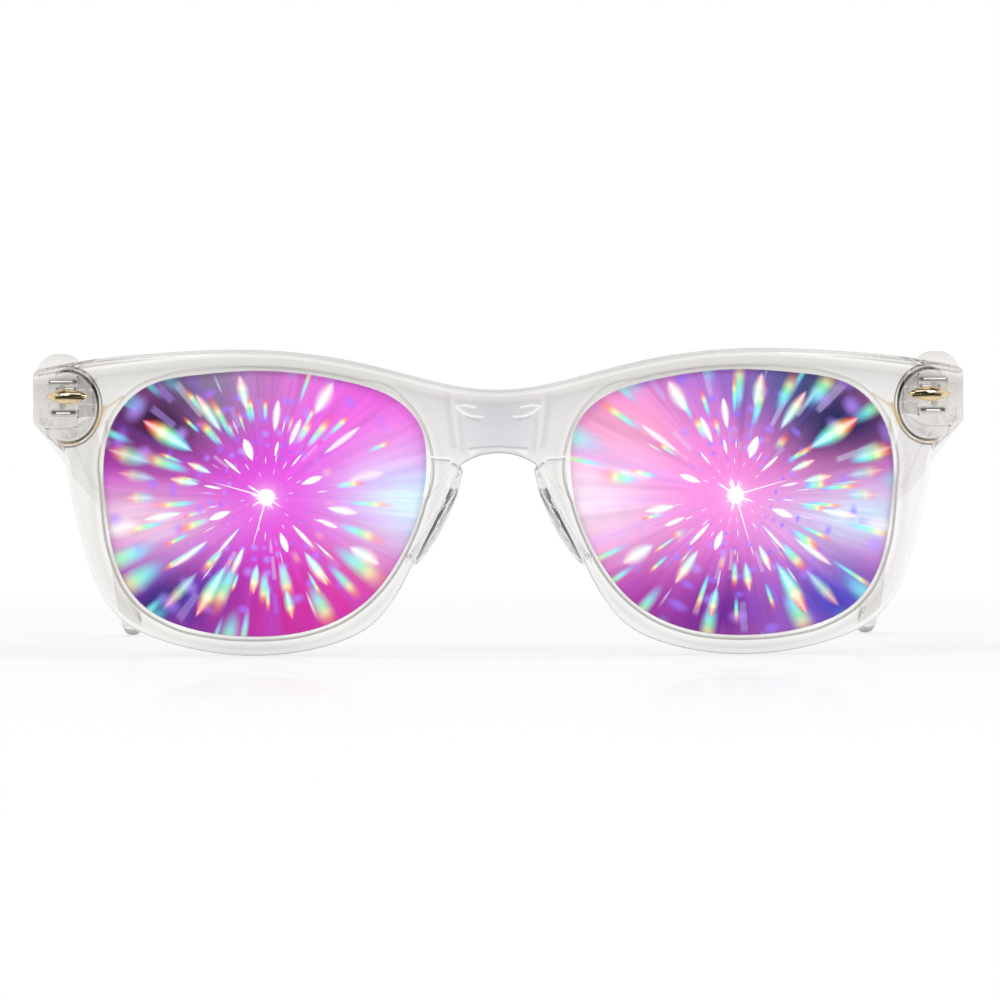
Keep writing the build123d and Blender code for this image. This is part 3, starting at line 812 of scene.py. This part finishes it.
@dataclass(frozen=True)
class BurstFilm:
    """Diffraction film with a radial burst of light painted round the middle of its lens, and a painted glow.
    """

    name: str
    side: Side
    seed: float
    centre: Place
    color_play: float
    tints: tuple[tuple[str, Color], ...]
    border_tint: Color = (0.95, 0.95, 0.95)
    # Painted glow of the bare border
    border_glow: Color = (2.4, 2.4, 2.4)
    glow: float = 0.2
    wear: Wear = Wear(gloss=0.22, haze=0.08, rubs=0.3, waves=0.01)

    def make(self, groups: Groups) -> bpy.types.Material:
        """Build the material.

        Args:
            groups: shared node groups.

        Returns:
            The material.
        """
        material, graph, shader = new_material(self.name)
        centre = (self.side.value * self.centre[0], self.centre[1], self.centre[2])
        place = graph.place_in_millimetres(centre, mirrored=self.side is Side.RIGHT)
        inputs = {"Place": place, "Seed": self.seed, "Color Play": self.color_play} | dict(self.tints)
        burst = graph.use(groups.burst, inputs)["Color"]
        bare = graph.step(graph.out("ShaderNodeAttribute", "Fac", attribute_name=BORDER), 0.02, 0.1)
        wear = self.wear.add(graph, groups, place)
        grating = graph.noise(graph.vector("MULTIPLY", place, (9.0, 1.0, 9.0)), 1.0, 0.0)
        # The burst is painted into the film's colour, and the emission gives the burst and the bare border a
        # painted glow
        graph.set(shader, {
            "Base Color": graph.blend(bare, burst, self.border_tint),
            "Emission Color": graph.blend(bare, burst, self.border_glow),
            "Emission Strength": self.glow,
            "Roughness": wear["Roughness"],
            "Normal": graph.bump(grating * 0.004 + wear["Height"]),
        })
        return material


@dataclass(frozen=True)
class PlatedMetal:
    """Plated metal, bright where it is rubbed and dull in its fine brush marks."""

    name: str
    tint: Color
    dull_tint: Color
    gloss: float
    brush: float
    metallic: float = 1.0
    fill: float = 0.0
    lines: tuple[Line, ...] = ()

    def make(self, groups: Groups) -> bpy.types.Material:
        """Build the material.

        Args:
            groups: shared node groups.

        Returns:
            The material.
        """
        material, graph, shader = new_material(self.name)
        place = graph.place_in_millimetres()
        wear = Wear(self.gloss, haze=0.1, rubs=0.8, waves=0.02).add(graph, groups, place)
        tarnish = graph.step(graph.noise(place, 0.9, 3.0, 0.6), 0.45, 0.8)
        color = graph.blend(tarnish, self.tint, self.dull_tint)
        # Painted highlight and reflection lines
        color = draw_lines(graph, groups, place, color, self.lines)
        marks = graph.noise(graph.vector("MULTIPLY", place, (1.0, 1.0, 24.0)), 1.0, 2.0)
        # The emission is a painted glow, standing in for light the metal gets too little of
        graph.set(shader, {
            "Base Color": color,
            "Emission Color": color,
            "Emission Strength": self.fill,
            "Roughness": wear["Roughness"],
            "Metallic": self.metallic,
            "Normal": graph.bump(marks * self.brush + wear["Height"]),
        })
        return material


def dress(node: str, material: bpy.types.Material) -> None:
    """Give a CAD node its finish.

    Args:
        node: name of the CAD node.
        material: the finish.
    """
    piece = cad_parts[node]
    for material_slot in piece.material_slots:
        material_slot.material = material
    log.info("dressed %s with %s", node, material.name)


def copied_shape(node: str, merge: float) -> bmesh.types.BMesh:
    """Copy the shape of a CAD node and join its triangles.

    Args:
        node: name of the CAD node.
        merge: corners closer than this, in millimetres, are made one.

    Returns:
        The copy.
    """
    shape = bmesh.new()
    shape.from_mesh(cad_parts[node].data)
    bmesh.ops.remove_doubles(shape, verts=shape.verts, dist=merge * MILLIMETRE)
    return shape


def new_piece(
    name: str, shape: bmesh.types.BMesh, material: bpy.types.Material, smooth_angle: float
) -> bpy.types.Object:
    """Make an object from a bmesh and free the bmesh.

    Args:
        name: name of the piece.
        shape: its mesh, in metres, in place.
        material: its finish.
        smooth_angle: edges sharper than this, in degrees, stay crisp.

    Returns:
        The new object.
    """
    mesh = bpy.data.meshes.new(name)
    for face in shape.faces:
        face.smooth = True
    for edge in shape.edges:
        edge.smooth = not edge.is_manifold or edge.calc_face_angle() < math.radians(smooth_angle)
    shape.to_mesh(mesh)
    shape.free()
    mesh.materials.append(material)
    piece = bpy.data.objects.new(name, mesh)
    bpy.context.scene.collection.objects.link(piece)
    return piece


@dataclass
class SoftenedMetal:
    """Metal part of the CAD model, remade with its edges broken as tumbling breaks them."""

    edge: float = 0.06
    merge: float = 0.002
    flat_angle: float = 1.0
    sharp_angle: float = 35.0
    segments: int = 2

    def make(self, node: str, body: str, material: bpy.types.Material, slot: Slot) -> None:
        """Copy a node, merge its triangles, break its edges and put the copy in its place.

        Args:
            node: name of the CAD node.
            body: body that it rides on.
            material: its finish.
            slot: the record's material slot; not used.
        """
        shape = copied_shape(node, self.merge)
        flattest, sharpest = math.radians(self.flat_angle), math.radians(self.sharp_angle)
        bmesh.ops.dissolve_limit(shape, angle_limit=flattest, verts=shape.verts, edges=shape.edges)
        sharp = [edge for edge in shape.edges if edge.is_manifold and edge.calc_face_angle() > sharpest]
        bmesh.ops.bevel(
            shape, geom=sharp, offset=self.edge * MILLIMETRE, offset_type="OFFSET", affect="EDGES",
            segments=self.segments, profile=0.5, material=-1, clamp_overlap=True,
        )
        bmesh.ops.recalc_face_normals(shape, faces=shape.faces)
        piece = new_piece(f"{node}_softened", shape, material, self.sharp_angle)
        piece.modifiers.new("flat_faces", "WEIGHTED_NORMAL").keep_sharp = True
        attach(piece, body)
        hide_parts(node)
        log.info("softened %s: %d faces", node, len(piece.data.polygons))


@dataclass
class Film:
    """One diffraction film, with the bare border that sits in the rim's groove."""

    side: Side
    border: float = 0.7
    merge: float = 0.001
    flat_share: float = 0.5
    sharp_angle: float = 30.0

    def make(self, material: bpy.types.Material) -> None:
        """Copy the CAD film, inset both its faces by the border and mark the border.

        Args:
            material: the film's finish.
        """
        node = f"{self.side.word}_diffraction_film"
        shape = copied_shape(node, self.merge)
        mark = shape.verts.layers.float.new(BORDER)
        for vertex in shape.verts:
            vertex[mark] = 1.0
        shape.normal_update()
        for toward in (-1.0, 1.0):
            sheet = [face for face in shape.faces if face.normal.y * toward > self.flat_share]
            bmesh.ops.inset_region(
                shape, faces=sheet, thickness=self.border * MILLIMETRE, use_boundary=True, use_even_offset=True,
            )
            for vertex in {vertex for face in sheet for vertex in face.verts}:
                vertex[mark] = 0.0
        piece = new_piece(f"{self.side.word}_film", shape, material, self.sharp_angle)
        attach(piece, "front")
        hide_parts(node)
        log.info("made %s: %d faces", piece.name, len(piece.data.polygons))


@dataclass
class Front:
    """The moulded front with its two laminated lenses."""

    plastic: bpy.types.Material
    sheet: bpy.types.Material
    films: dict[Side, bpy.types.Material]

    def build(self) -> None:
        """Dress the front frame, the clear carriers and the films."""
        dress("front_frame", self.plastic)
        for side in Side:
            dress(f"{side.word}_lens", self.sheet)
            Film(side).make(self.films[side])


@dataclass
class Hinge:
    """One folding hinge: two leaves, four leaf screws and the hinge screw."""

    side: Side
    metal: bpy.types.Material
    steel: bpy.types.Material

    def build(self) -> None:
        """Dress the leaves and the screws."""
        for part, body in (("front", "front"), ("temple", self.side.arm)):
            SoftenedMetal().make(f"{self.side.word}_{part}_hinge_leaf", body, self.metal, Slot.HINGE)
        for screw in ("front_leaf_upper", "front_leaf_lower", "hinge", "temple_leaf_front", "temple_leaf_rear"):
            dress(f"{self.side.word}_{screw}_screw", self.steel)


@dataclass
class Temple:
    """One temple, which folds on its hinge on the real glasses."""

    side: Side
    plastic: bpy.types.Material

    def build(self) -> None:
        """Dress the temple."""
        dress(f"{self.side.word}_temple", self.plastic)


@dataclass
class Badge:
    """Pointed oval badge on an end piece."""

    side: Side
    gold: bpy.types.Material

    def build(self) -> None:
        """Dress the badge."""
        dress(f"{self.side.word}_badge", self.gold)


@dataclass
class Studio:
    """Floor, world, lamps and camera of a plain pale studio.

    A Turn holds where a level starts to turn, where it ends, and the level before and after.
    """

    floor_radius: float = 0.9
    floor_segments: int = 96
    floor_drop: float = 0.00004
    floor_fade: tuple[float, float] = (0.14, 0.55)
    floor_tint: Color = (0.95, 0.95, 0.95)
    mirror_share: float = 0.10
    mirror_roughness: float = 0.02
    mirror_fade: tuple[float, float] = (0.12, 0.42)
    mirror_back: tuple[float, float] = (-0.085, -0.065)
    own_light: float = 0.72
    ambient: float = 0.62
    through_ahead: Turn = (0.30, 0.93, 0.16, 1.0)
    through_up: Turn = (0.30, 0.80, 1.0, 0.6)
    behind_camera: Turn = (0.05, 0.3, 0.0, 1.0)
    box_bottom: Turn = (0.60, 0.68, 0.0, 1.0)
    box_top: Turn = (0.90, 0.95, 1.0, 0.0)
    box_side: Turn = (0.30, 0.42, 1.0, 0.0)
    box_power: float = 1.3
    side_glow: Turn = (0.55, 0.85, 0.03, 0.8)
    overhead: Turn = (0.75, 0.97, 0.92, 0.12)
    lamp_aim: Place = (0.0, 0.0, 0.02)
    lamp_shape: float = 0.7
    camera_distance: float = 0.9
    camera_height: float = 0.02415
    camera_shift: float = 0.00023
    camera_roll: float = 0.2
    camera_clip: tuple[float, float] = (0.01, 20.0)
    view_width: float = 0.1554
    sensor: float = 36.0

    def build(self) -> None:
        """Set the whole studio up."""
        scene = bpy.context.scene
        scene.view_settings.view_transform = "Standard"
        self.make_floor()
        self.make_world(scene)
        self.make_lamps(scene)
        self.make_camera(scene)

    def make_floor(self) -> None:
        """Pale round floor that fades into the white, and faintly mirrors the glasses in front of them."""
        shape = bmesh.new()
        bmesh.ops.create_circle(shape, cap_ends=True, segments=self.floor_segments, radius=self.floor_radius)
        bmesh.ops.translate(shape, verts=shape.verts, vec=(0.0, 0.0, -self.floor_drop))
        material = bpy.data.materials.new("studio_floor")
        material.use_nodes = True
        material.node_tree.nodes.clear()
        graph = Graph(material.node_tree)
        place = graph.out("ShaderNodeTexCoord", "Object")
        distance = graph.length(place)
        path = graph.outs("ShaderNodeLightPath")
        mirrored = graph.math("MAXIMUM", path["Is Glossy Ray"], path["Is Transmission Ray"])
        seen = graph.math("MAXIMUM", path["Is Camera Ray"], mirrored)
        diffuse = graph.out("ShaderNodeBsdfDiffuse", 0, {"Color": self.floor_tint})
        own_light = graph.out("ShaderNodeEmission", 0, {"Color": WHITE, "Strength": 1.0})
        mirror = graph.out("ShaderNodeBsdfGlossy", 0, {"Color": WHITE, "Roughness": self.mirror_roughness})
        clear = graph.out("ShaderNodeBsdfTransparent", 0)
        in_front = graph.step(graph.parts(place)[1], *self.mirror_back, 1.0, 0.0)
        mirror_share = in_front * graph.step(distance, *self.mirror_fade, self.mirror_share, 0.0)
        fade = graph.step(distance, *self.floor_fade)
        surface = diffuse
        for share, over in ((seen * self.own_light, own_light), (mirror_share, mirror), (fade, clear)):
            surface = graph.out("ShaderNodeMixShader", 0, {0: share, 1: surface, 2: over})
        graph.add("ShaderNodeOutputMaterial", {"Surface": surface})
        new_piece("studio_floor", shape, material, smooth_angle=30.0)

    def make_world(self, scene: bpy.types.Scene) -> None:
        """White background with dim zones overhead and behind the camera, for contrast in plastic and metal.

        Args:
            scene: scene that gets the world.
        """
        world = bpy.data.worlds.new("studio_world")
        world.use_nodes = True
        scene.world = world
        graph = Graph(world.node_tree)
        across, along, up = graph.parts(graph.out("ShaderNodeTexCoord", "Generated"))
        aside = abs(across)
        seen_through = graph.step(abs(along), *self.through_ahead) * graph.step(up, *self.through_up)
        behind_camera = graph.step(along * -1.0, *self.behind_camera)
        box_height = graph.step(up, *self.box_bottom) * graph.step(up, *self.box_top)
        soft_box = box_height * graph.step(aside, *self.box_side) * self.box_power
        front_half = graph.math("MAXIMUM", soft_box, graph.step(aside, *self.side_glow))
        back_half = graph.step(up, *self.overhead)
        path = graph.outs("ShaderNodeLightPath")
        level = graph.between(behind_camera, back_half, front_half)
        level = graph.between(path["Is Glossy Ray"], self.ambient, level)
        level = graph.between(path["Is Transmission Ray"], level, seen_through)
        level = graph.between(path["Is Camera Ray"], level, 1.0)
        graph.set(world.node_tree.nodes["Background"], {"Color": WHITE, "Strength": level})

    def make_lamps(self, scene: bpy.types.Scene) -> None:
        """Two soft boxes in front, left and right, and one overhead.

        Args:
            scene: scene that gets the lamps.
        """
        lamps = (
            ("lamp_left", (-0.42, -0.62, 0.42), 0.34, 1.1),
            ("lamp_right", (0.42, -0.62, 0.42), 0.34, 1.1),
            ("lamp_top", (0.0, 0.1, 0.75), 0.5, 1.2),
        )
        for name, place, size, power in lamps:
            light = bpy.data.lights.new(name, "AREA")
            light.shape = "RECTANGLE"
            light.size, light.size_y, light.energy = size, size * self.lamp_shape, power
            lamp = bpy.data.objects.new(name, light)
            lamp.location = place
            lamp.rotation_euler = (Vector(self.lamp_aim) - Vector(place)).to_track_quat("-Z", "Y").to_euler()
            lamp.visible_camera = lamp.visible_transmission = False
            scene.collection.objects.link(lamp)

    def make_camera(self, scene: bpy.types.Scene) -> None:
        """Long lens straight in front, level with the middle of the lenses.

        Args:
            scene: scene that gets the camera.
        """
        front_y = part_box("front_frame")[0].y
        data = bpy.data.cameras.new("photo_camera")
        data.sensor_width = self.sensor
        data.lens = self.sensor * self.camera_distance / self.view_width
        data.clip_start, data.clip_end = self.camera_clip
        camera = bpy.data.objects.new("photo_camera", data)
        camera.location = (self.camera_shift, front_y - self.camera_distance, self.camera_height)
        camera.rotation_euler = (math.radians(90.0), math.radians(self.camera_roll), 0.0)
        scene.collection.objects.link(camera)
        scene.camera = camera


TOP_LINE = (
    (0.0, 0.820), (0.107, 0.836), (0.219, 0.874), (0.324, 0.908), (0.440, 0.936), (0.543, 0.946),
    (0.663, 0.944), (0.771, 0.932), (0.886, 0.914), (1.0, 0.890),
)
# Painted shade and highlight in bands down from the top edge of the front: a dark line, a highlight, then grey
# shade
TOP_SHADING_BANDS = (
    (0.0, (0.80, 0.79, 0.78)), (0.035, (0.72, 0.71, 0.70)), (0.06, PAINTED_HIGHLIGHT), (0.11, PAINTED_HIGHLIGHT),
    (0.15, (0.96, 0.96, 0.955)), (0.26, (0.90, 0.895, 0.89)), (0.33, (0.82, 0.815, 0.81)),
    (0.42, (0.88, 0.88, 0.88)), (0.60, (0.92, 0.92, 0.92)), (1.0, WHITE),
)
LENS_LINE = tuple((0.05 * place, level) for place, level in enumerate((
    0.646, 0.607, 0.588, 0.572, 0.552, 0.543, 0.562, 0.607, 0.640, 0.633, 0.630, 0.667, 0.679, 0.619,
    0.555, 0.528, 0.544, 0.600, 0.690, 0.698, 0.646,
)))
# Painted highlight and a dark painted shade line along the edges of the lens openings
RIM_SHADING_BANDS = (
    (0.0, PAINTED_HIGHLIGHT), (0.09, PAINTED_HIGHLIGHT), (0.13, (0.62, 0.61, 0.60)), (0.17, (0.60, 0.59, 0.58)),
    (0.20, (1.05, 1.05, 1.05)), (0.26, WHITE), (0.36, (0.90, 0.90, 0.90)), (0.55, (0.98, 0.98, 0.98)),
    (1.0, WHITE),
)
# Painted shade rings and painted highlights round the rounded end blocks
BLOCK_SHADING_BANDS = (
    (0.0, (0.95, 0.95, 0.95)), (0.30, (0.80, 0.80, 0.79)), (0.44, WHITE), (0.50, (0.18, 0.175, 0.16)),
    (0.60, (0.10, 0.095, 0.085)), (0.64, PAINTED_HIGHLIGHT), (0.70, PAINTED_HIGHLIGHT), (0.75, (0.30, 0.29, 0.26)),
    (0.79, (0.34, 0.32, 0.28)), (0.84, WHITE),
)
# Painted highlights (white) and painted shade lines (grey and dark) on the bridge and the end blocks, and amber
# lines by the end blocks
FRONT_SHADING_LINES = tuple(Line(*line) for line in (
    ((7.9, 40.2), (6.9, 32.6), 0.60, (0.62, 0.61, 0.62), 0.45), ((7.1, 39.6), (6.3, 33.0), 0.40, WHITE, 0.3),
    ((6.0, 36.6), (5.5, 31.8), 0.45, (0.62, 0.60, 0.64), 0.35), ((6.7, 38.7), (5.2, 38.9), 0.14, WHITE, 0.9),
    ((5.2, 38.9), (3.6, 38.6), 0.16, WHITE, 1.0), ((6.4, 38.5), (5.3, 37.7), 0.17, WHITE, 1.0),
    ((5.3, 37.7), (4.1, 37.2), 0.20, WHITE, 1.0), ((4.1, 37.2), (2.4, 37.1), 0.14, WHITE, 1.0),
    ((5.0, 37.1), (2.8, 36.5), 0.12, (0.50, 0.48, 0.52), 0.6), ((4.4, 31.6), (1.9, 32.0), 0.16, WHITE, 1.0),
    ((1.9, 32.0), (0.0, 32.1), 0.16, WHITE, 1.0), ((4.5, 32.2), (0.0, 32.5), 0.15, (0.50, 0.48, 0.51), 0.7),
    ((10.6, 30.9), (7.6, 30.7), 0.16, WHITE, 0.9), ((7.6, 30.7), (6.2, 29.6), 0.16, WHITE, 0.9),
    ((10.4, 30.5), (7.6, 30.3), 0.13, (0.45, 0.43, 0.41), 0.8),
    ((6.9, 29.8), (6.0, 29.0), 0.25, (0.30, 0.29, 0.29), 0.8),
    ((61.6, 38.9), (62.8, 36.0), 0.36, AMBER, 0.9), ((62.8, 36.0), (64.2, 34.2), 0.22, AMBER, 0.5),
    ((65.5, 33.3), (68.3, 33.2), 0.22, AMBER, 0.6), ((61.1, 38.9), (58.6, 40.6), 0.24, AMBER, 0.55),
    ((61.2, 36.8), (61.5, 32.6), 0.16, (0.50, 0.44, 0.36), 0.5), ((61.9, 35.4), (62.2, 33.0), 0.22, WHITE, 0.8),
))
# Painted reflections on the badge: a dark band, a white highlight line and a dark brown line along it
BADGE_REFLECTION_LINES = tuple(Line(*line) for line in (
    ((65.0, 40.3), (69.2, 40.4), 0.27, (0.01, 0.008, 0.006), 1.0),
    ((65.6, 40.85), (69.2, 40.9), 0.10, WHITE, 0.9),
    ((65.9, 41.2), (69.2, 41.2), 0.09, (0.12, 0.07, 0.03), 0.9),
))
# Painted glints on the hinge leaf: white lines, each laid on a dark line
LEAF_GLINT_LINES = tuple(Line(*line) for line in (
    ((66.0, 43.0), (70.4, 43.0), 0.30, DARK, 0.85), ((66.6, 43.05), (70.0, 43.05), 0.15, WHITE, 1.0),
    ((66.0, 41.9), (68.9, 41.9), 0.22, DARK, 0.7), ((66.4, 41.9), (68.6, 41.9), 0.12, WHITE, 1.0),
    ((66.2, 38.2), (69.6, 38.2), 0.30, DARK, 0.9), ((67.0, 38.1), (69.0, 38.1), 0.13, WHITE, 1.0),
))
# Painted shade: a darker line along the top of each temple
ARM_SHADING_SPOTS = tuple(
    TintSpot((sign * 66.5, -50.0, 48.0), (9.0, 60.0, 1.4), (0.55, 0.54, 0.53), 0.9) for sign in (1.0, -1.0)
)
# Painted shade and light on the front: darker end blocks, top bar, bridge, bridge panel and rim bottoms,
# lighter end pieces lower down, and a faint bluish shade under the bridge
FRONT_SHADING_SPOTS = tuple(TintSpot((x, -72.0, z), (wide, 900.0, high), *rest) for x, z, wide, high, *rest in (
    (67.5, 39.0, 6.5, 7.0, (0.80, 0.795, 0.785), 0.8),
    (-67.5, 39.0, 6.5, 7.0, (0.76, 0.755, 0.745), 0.8),
    (0.0, 45.5, 66.0, 4.6, (0.82, 0.805, 0.785)),
    (0.0, 36.5, 17.0, 6.0, (0.83, 0.805, 0.80)),
    (0.0, 35.0, 6.0, 5.0, (0.73, 0.705, 0.765)),
    (-37.0, 0.6, 26.0, 1.6, (0.80, 0.80, 0.82)),
    (37.0, 0.6, 26.0, 1.6, (0.86, 0.84, 0.84)),
    (64.0, 22.0, 8.0, 15.0, (0.99, 0.965, 0.975)),
    (0.0, 18.0, 20.0, 9.0, (0.90, 0.90, 0.925), 0.7),
))
BLUE_TINTS = (
    ("Glow", (0.92, 0.24, 0.72)), ("Top", (0.36, 0.15, 0.68)), ("Nose High", (0.91, 0.35, 0.56)),
    ("Low Nose", (0.50, 0.02, 0.40)), ("Low", (0.16, 0.004, 0.26)), ("Nose", (0.956, 0.75, 0.87)),
    ("Haze", (0.03, 0.13, 0.33)), ("Low Temple", (0.06, 0.05, 0.48)), ("Temple Shade", (0.002, 0.014, 0.075)),
    ("Temple", (0.62, 0.78, 0.95)), ("Block", (0.25, 0.14, 1.0)),
)
PINK_TINTS = (
    ("Glow", (0.76, 0.055, 0.74)), ("Top", (0.76, 0.19, 0.68)), ("Nose High", (0.87, 0.15, 0.75)),
    ("Low Nose", (0.68, 0.02, 0.31)), ("Low", (0.58, 0.013, 0.32)), ("Nose", (0.68, 0.87, 0.96)),
    ("Haze", (0.30, 0.33, 0.42)), ("Low Temple", (0.014, 0.012, 0.20)), ("Temple Shade", (0.045, 0.010, 0.05)),
    ("Temple", (0.84, 0.60, 0.72)), ("Block", (0.33, 0.12, 0.97)),
)
FINISHES = {
    "front": FrontPlastic(
        "clear_frame_plastic", tint=(0.945, 0.935, 0.92), warm_tint=(0.94, 0.925, 0.89), warm_share=0.5,
        refraction=1.49, wear=Wear(gloss=0.015, haze=0.02, rubs=0.15, waves=0.03), spots=FRONT_SHADING_SPOTS,
    ),
    "arm": ClearPlastic(
        "clear_temple_plastic", tint=(0.84, 0.83, 0.82), warm_tint=(0.82, 0.81, 0.80), warm_share=0.5,
        refraction=1.49, wear=Wear(gloss=0.015, haze=0.02, rubs=0.2, waves=0.03), spots=ARM_SHADING_SPOTS,
    ),
    "sheet": ClearPlastic(
        "clear_lens_sheet", tint=(0.97, 0.97, 0.98), warm_tint=(0.96, 0.97, 0.98), warm_share=0.3,
        refraction=1.58, wear=Wear(gloss=0.01, haze=0.02, rubs=0.2, waves=0.01),
    ),
    "gold": PlatedMetal(
        "pale_gold", tint=(0.90, 0.70, 0.42), dull_tint=(0.82, 0.60, 0.33), gloss=0.07, brush=0.002,
        lines=BADGE_REFLECTION_LINES,
    ),
    "hinge": PlatedMetal(
        "hinge_plate", tint=(0.74, 0.73, 0.72), dull_tint=(0.68, 0.66, 0.62), gloss=0.30, brush=0.004,
        metallic=0.35, fill=0.5, lines=LEAF_GLINT_LINES,
    ),
    "steel": PlatedMetal(
        "screw_steel", tint=(0.62, 0.60, 0.57), dull_tint=(0.40, 0.38, 0.36), gloss=0.16, brush=0.003,
        metallic=0.7, fill=0.4,
    ),
}
FILMS = {
    Side.LEFT: BurstFilm(
        "burst_film_blue", Side.LEFT, seed=4.0, centre=(37.0, 0.0, 24.8), color_play=1.3, tints=BLUE_TINTS
    ),
    Side.RIGHT: BurstFilm(
        "burst_film_pink", Side.RIGHT, seed=17.0, centre=(36.2, 0.0, 24.7), color_play=1.1, tints=PINK_TINTS
    ),
}


def main() -> None:
    """Build the looks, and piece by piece."""
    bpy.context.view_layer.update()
    groups = Groups()
    made = {name: finish.make(groups) for name, finish in FINISHES.items()}
    films = {side: film.make(groups) for side, film in FILMS.items()}
    Front(made["front"], made["sheet"], films).build()
    for side in Side:
        Badge(side, made["gold"]).build()
        Hinge(side, made["hinge"], made["steel"]).build()
        Temple(side, made["arm"]).build()
    Studio().build()
    log.info("sizes written")


if __name__ == "__main__":
    logging.basicConfig(level=logging.INFO, format="%(name)s %(message)s")
    main()
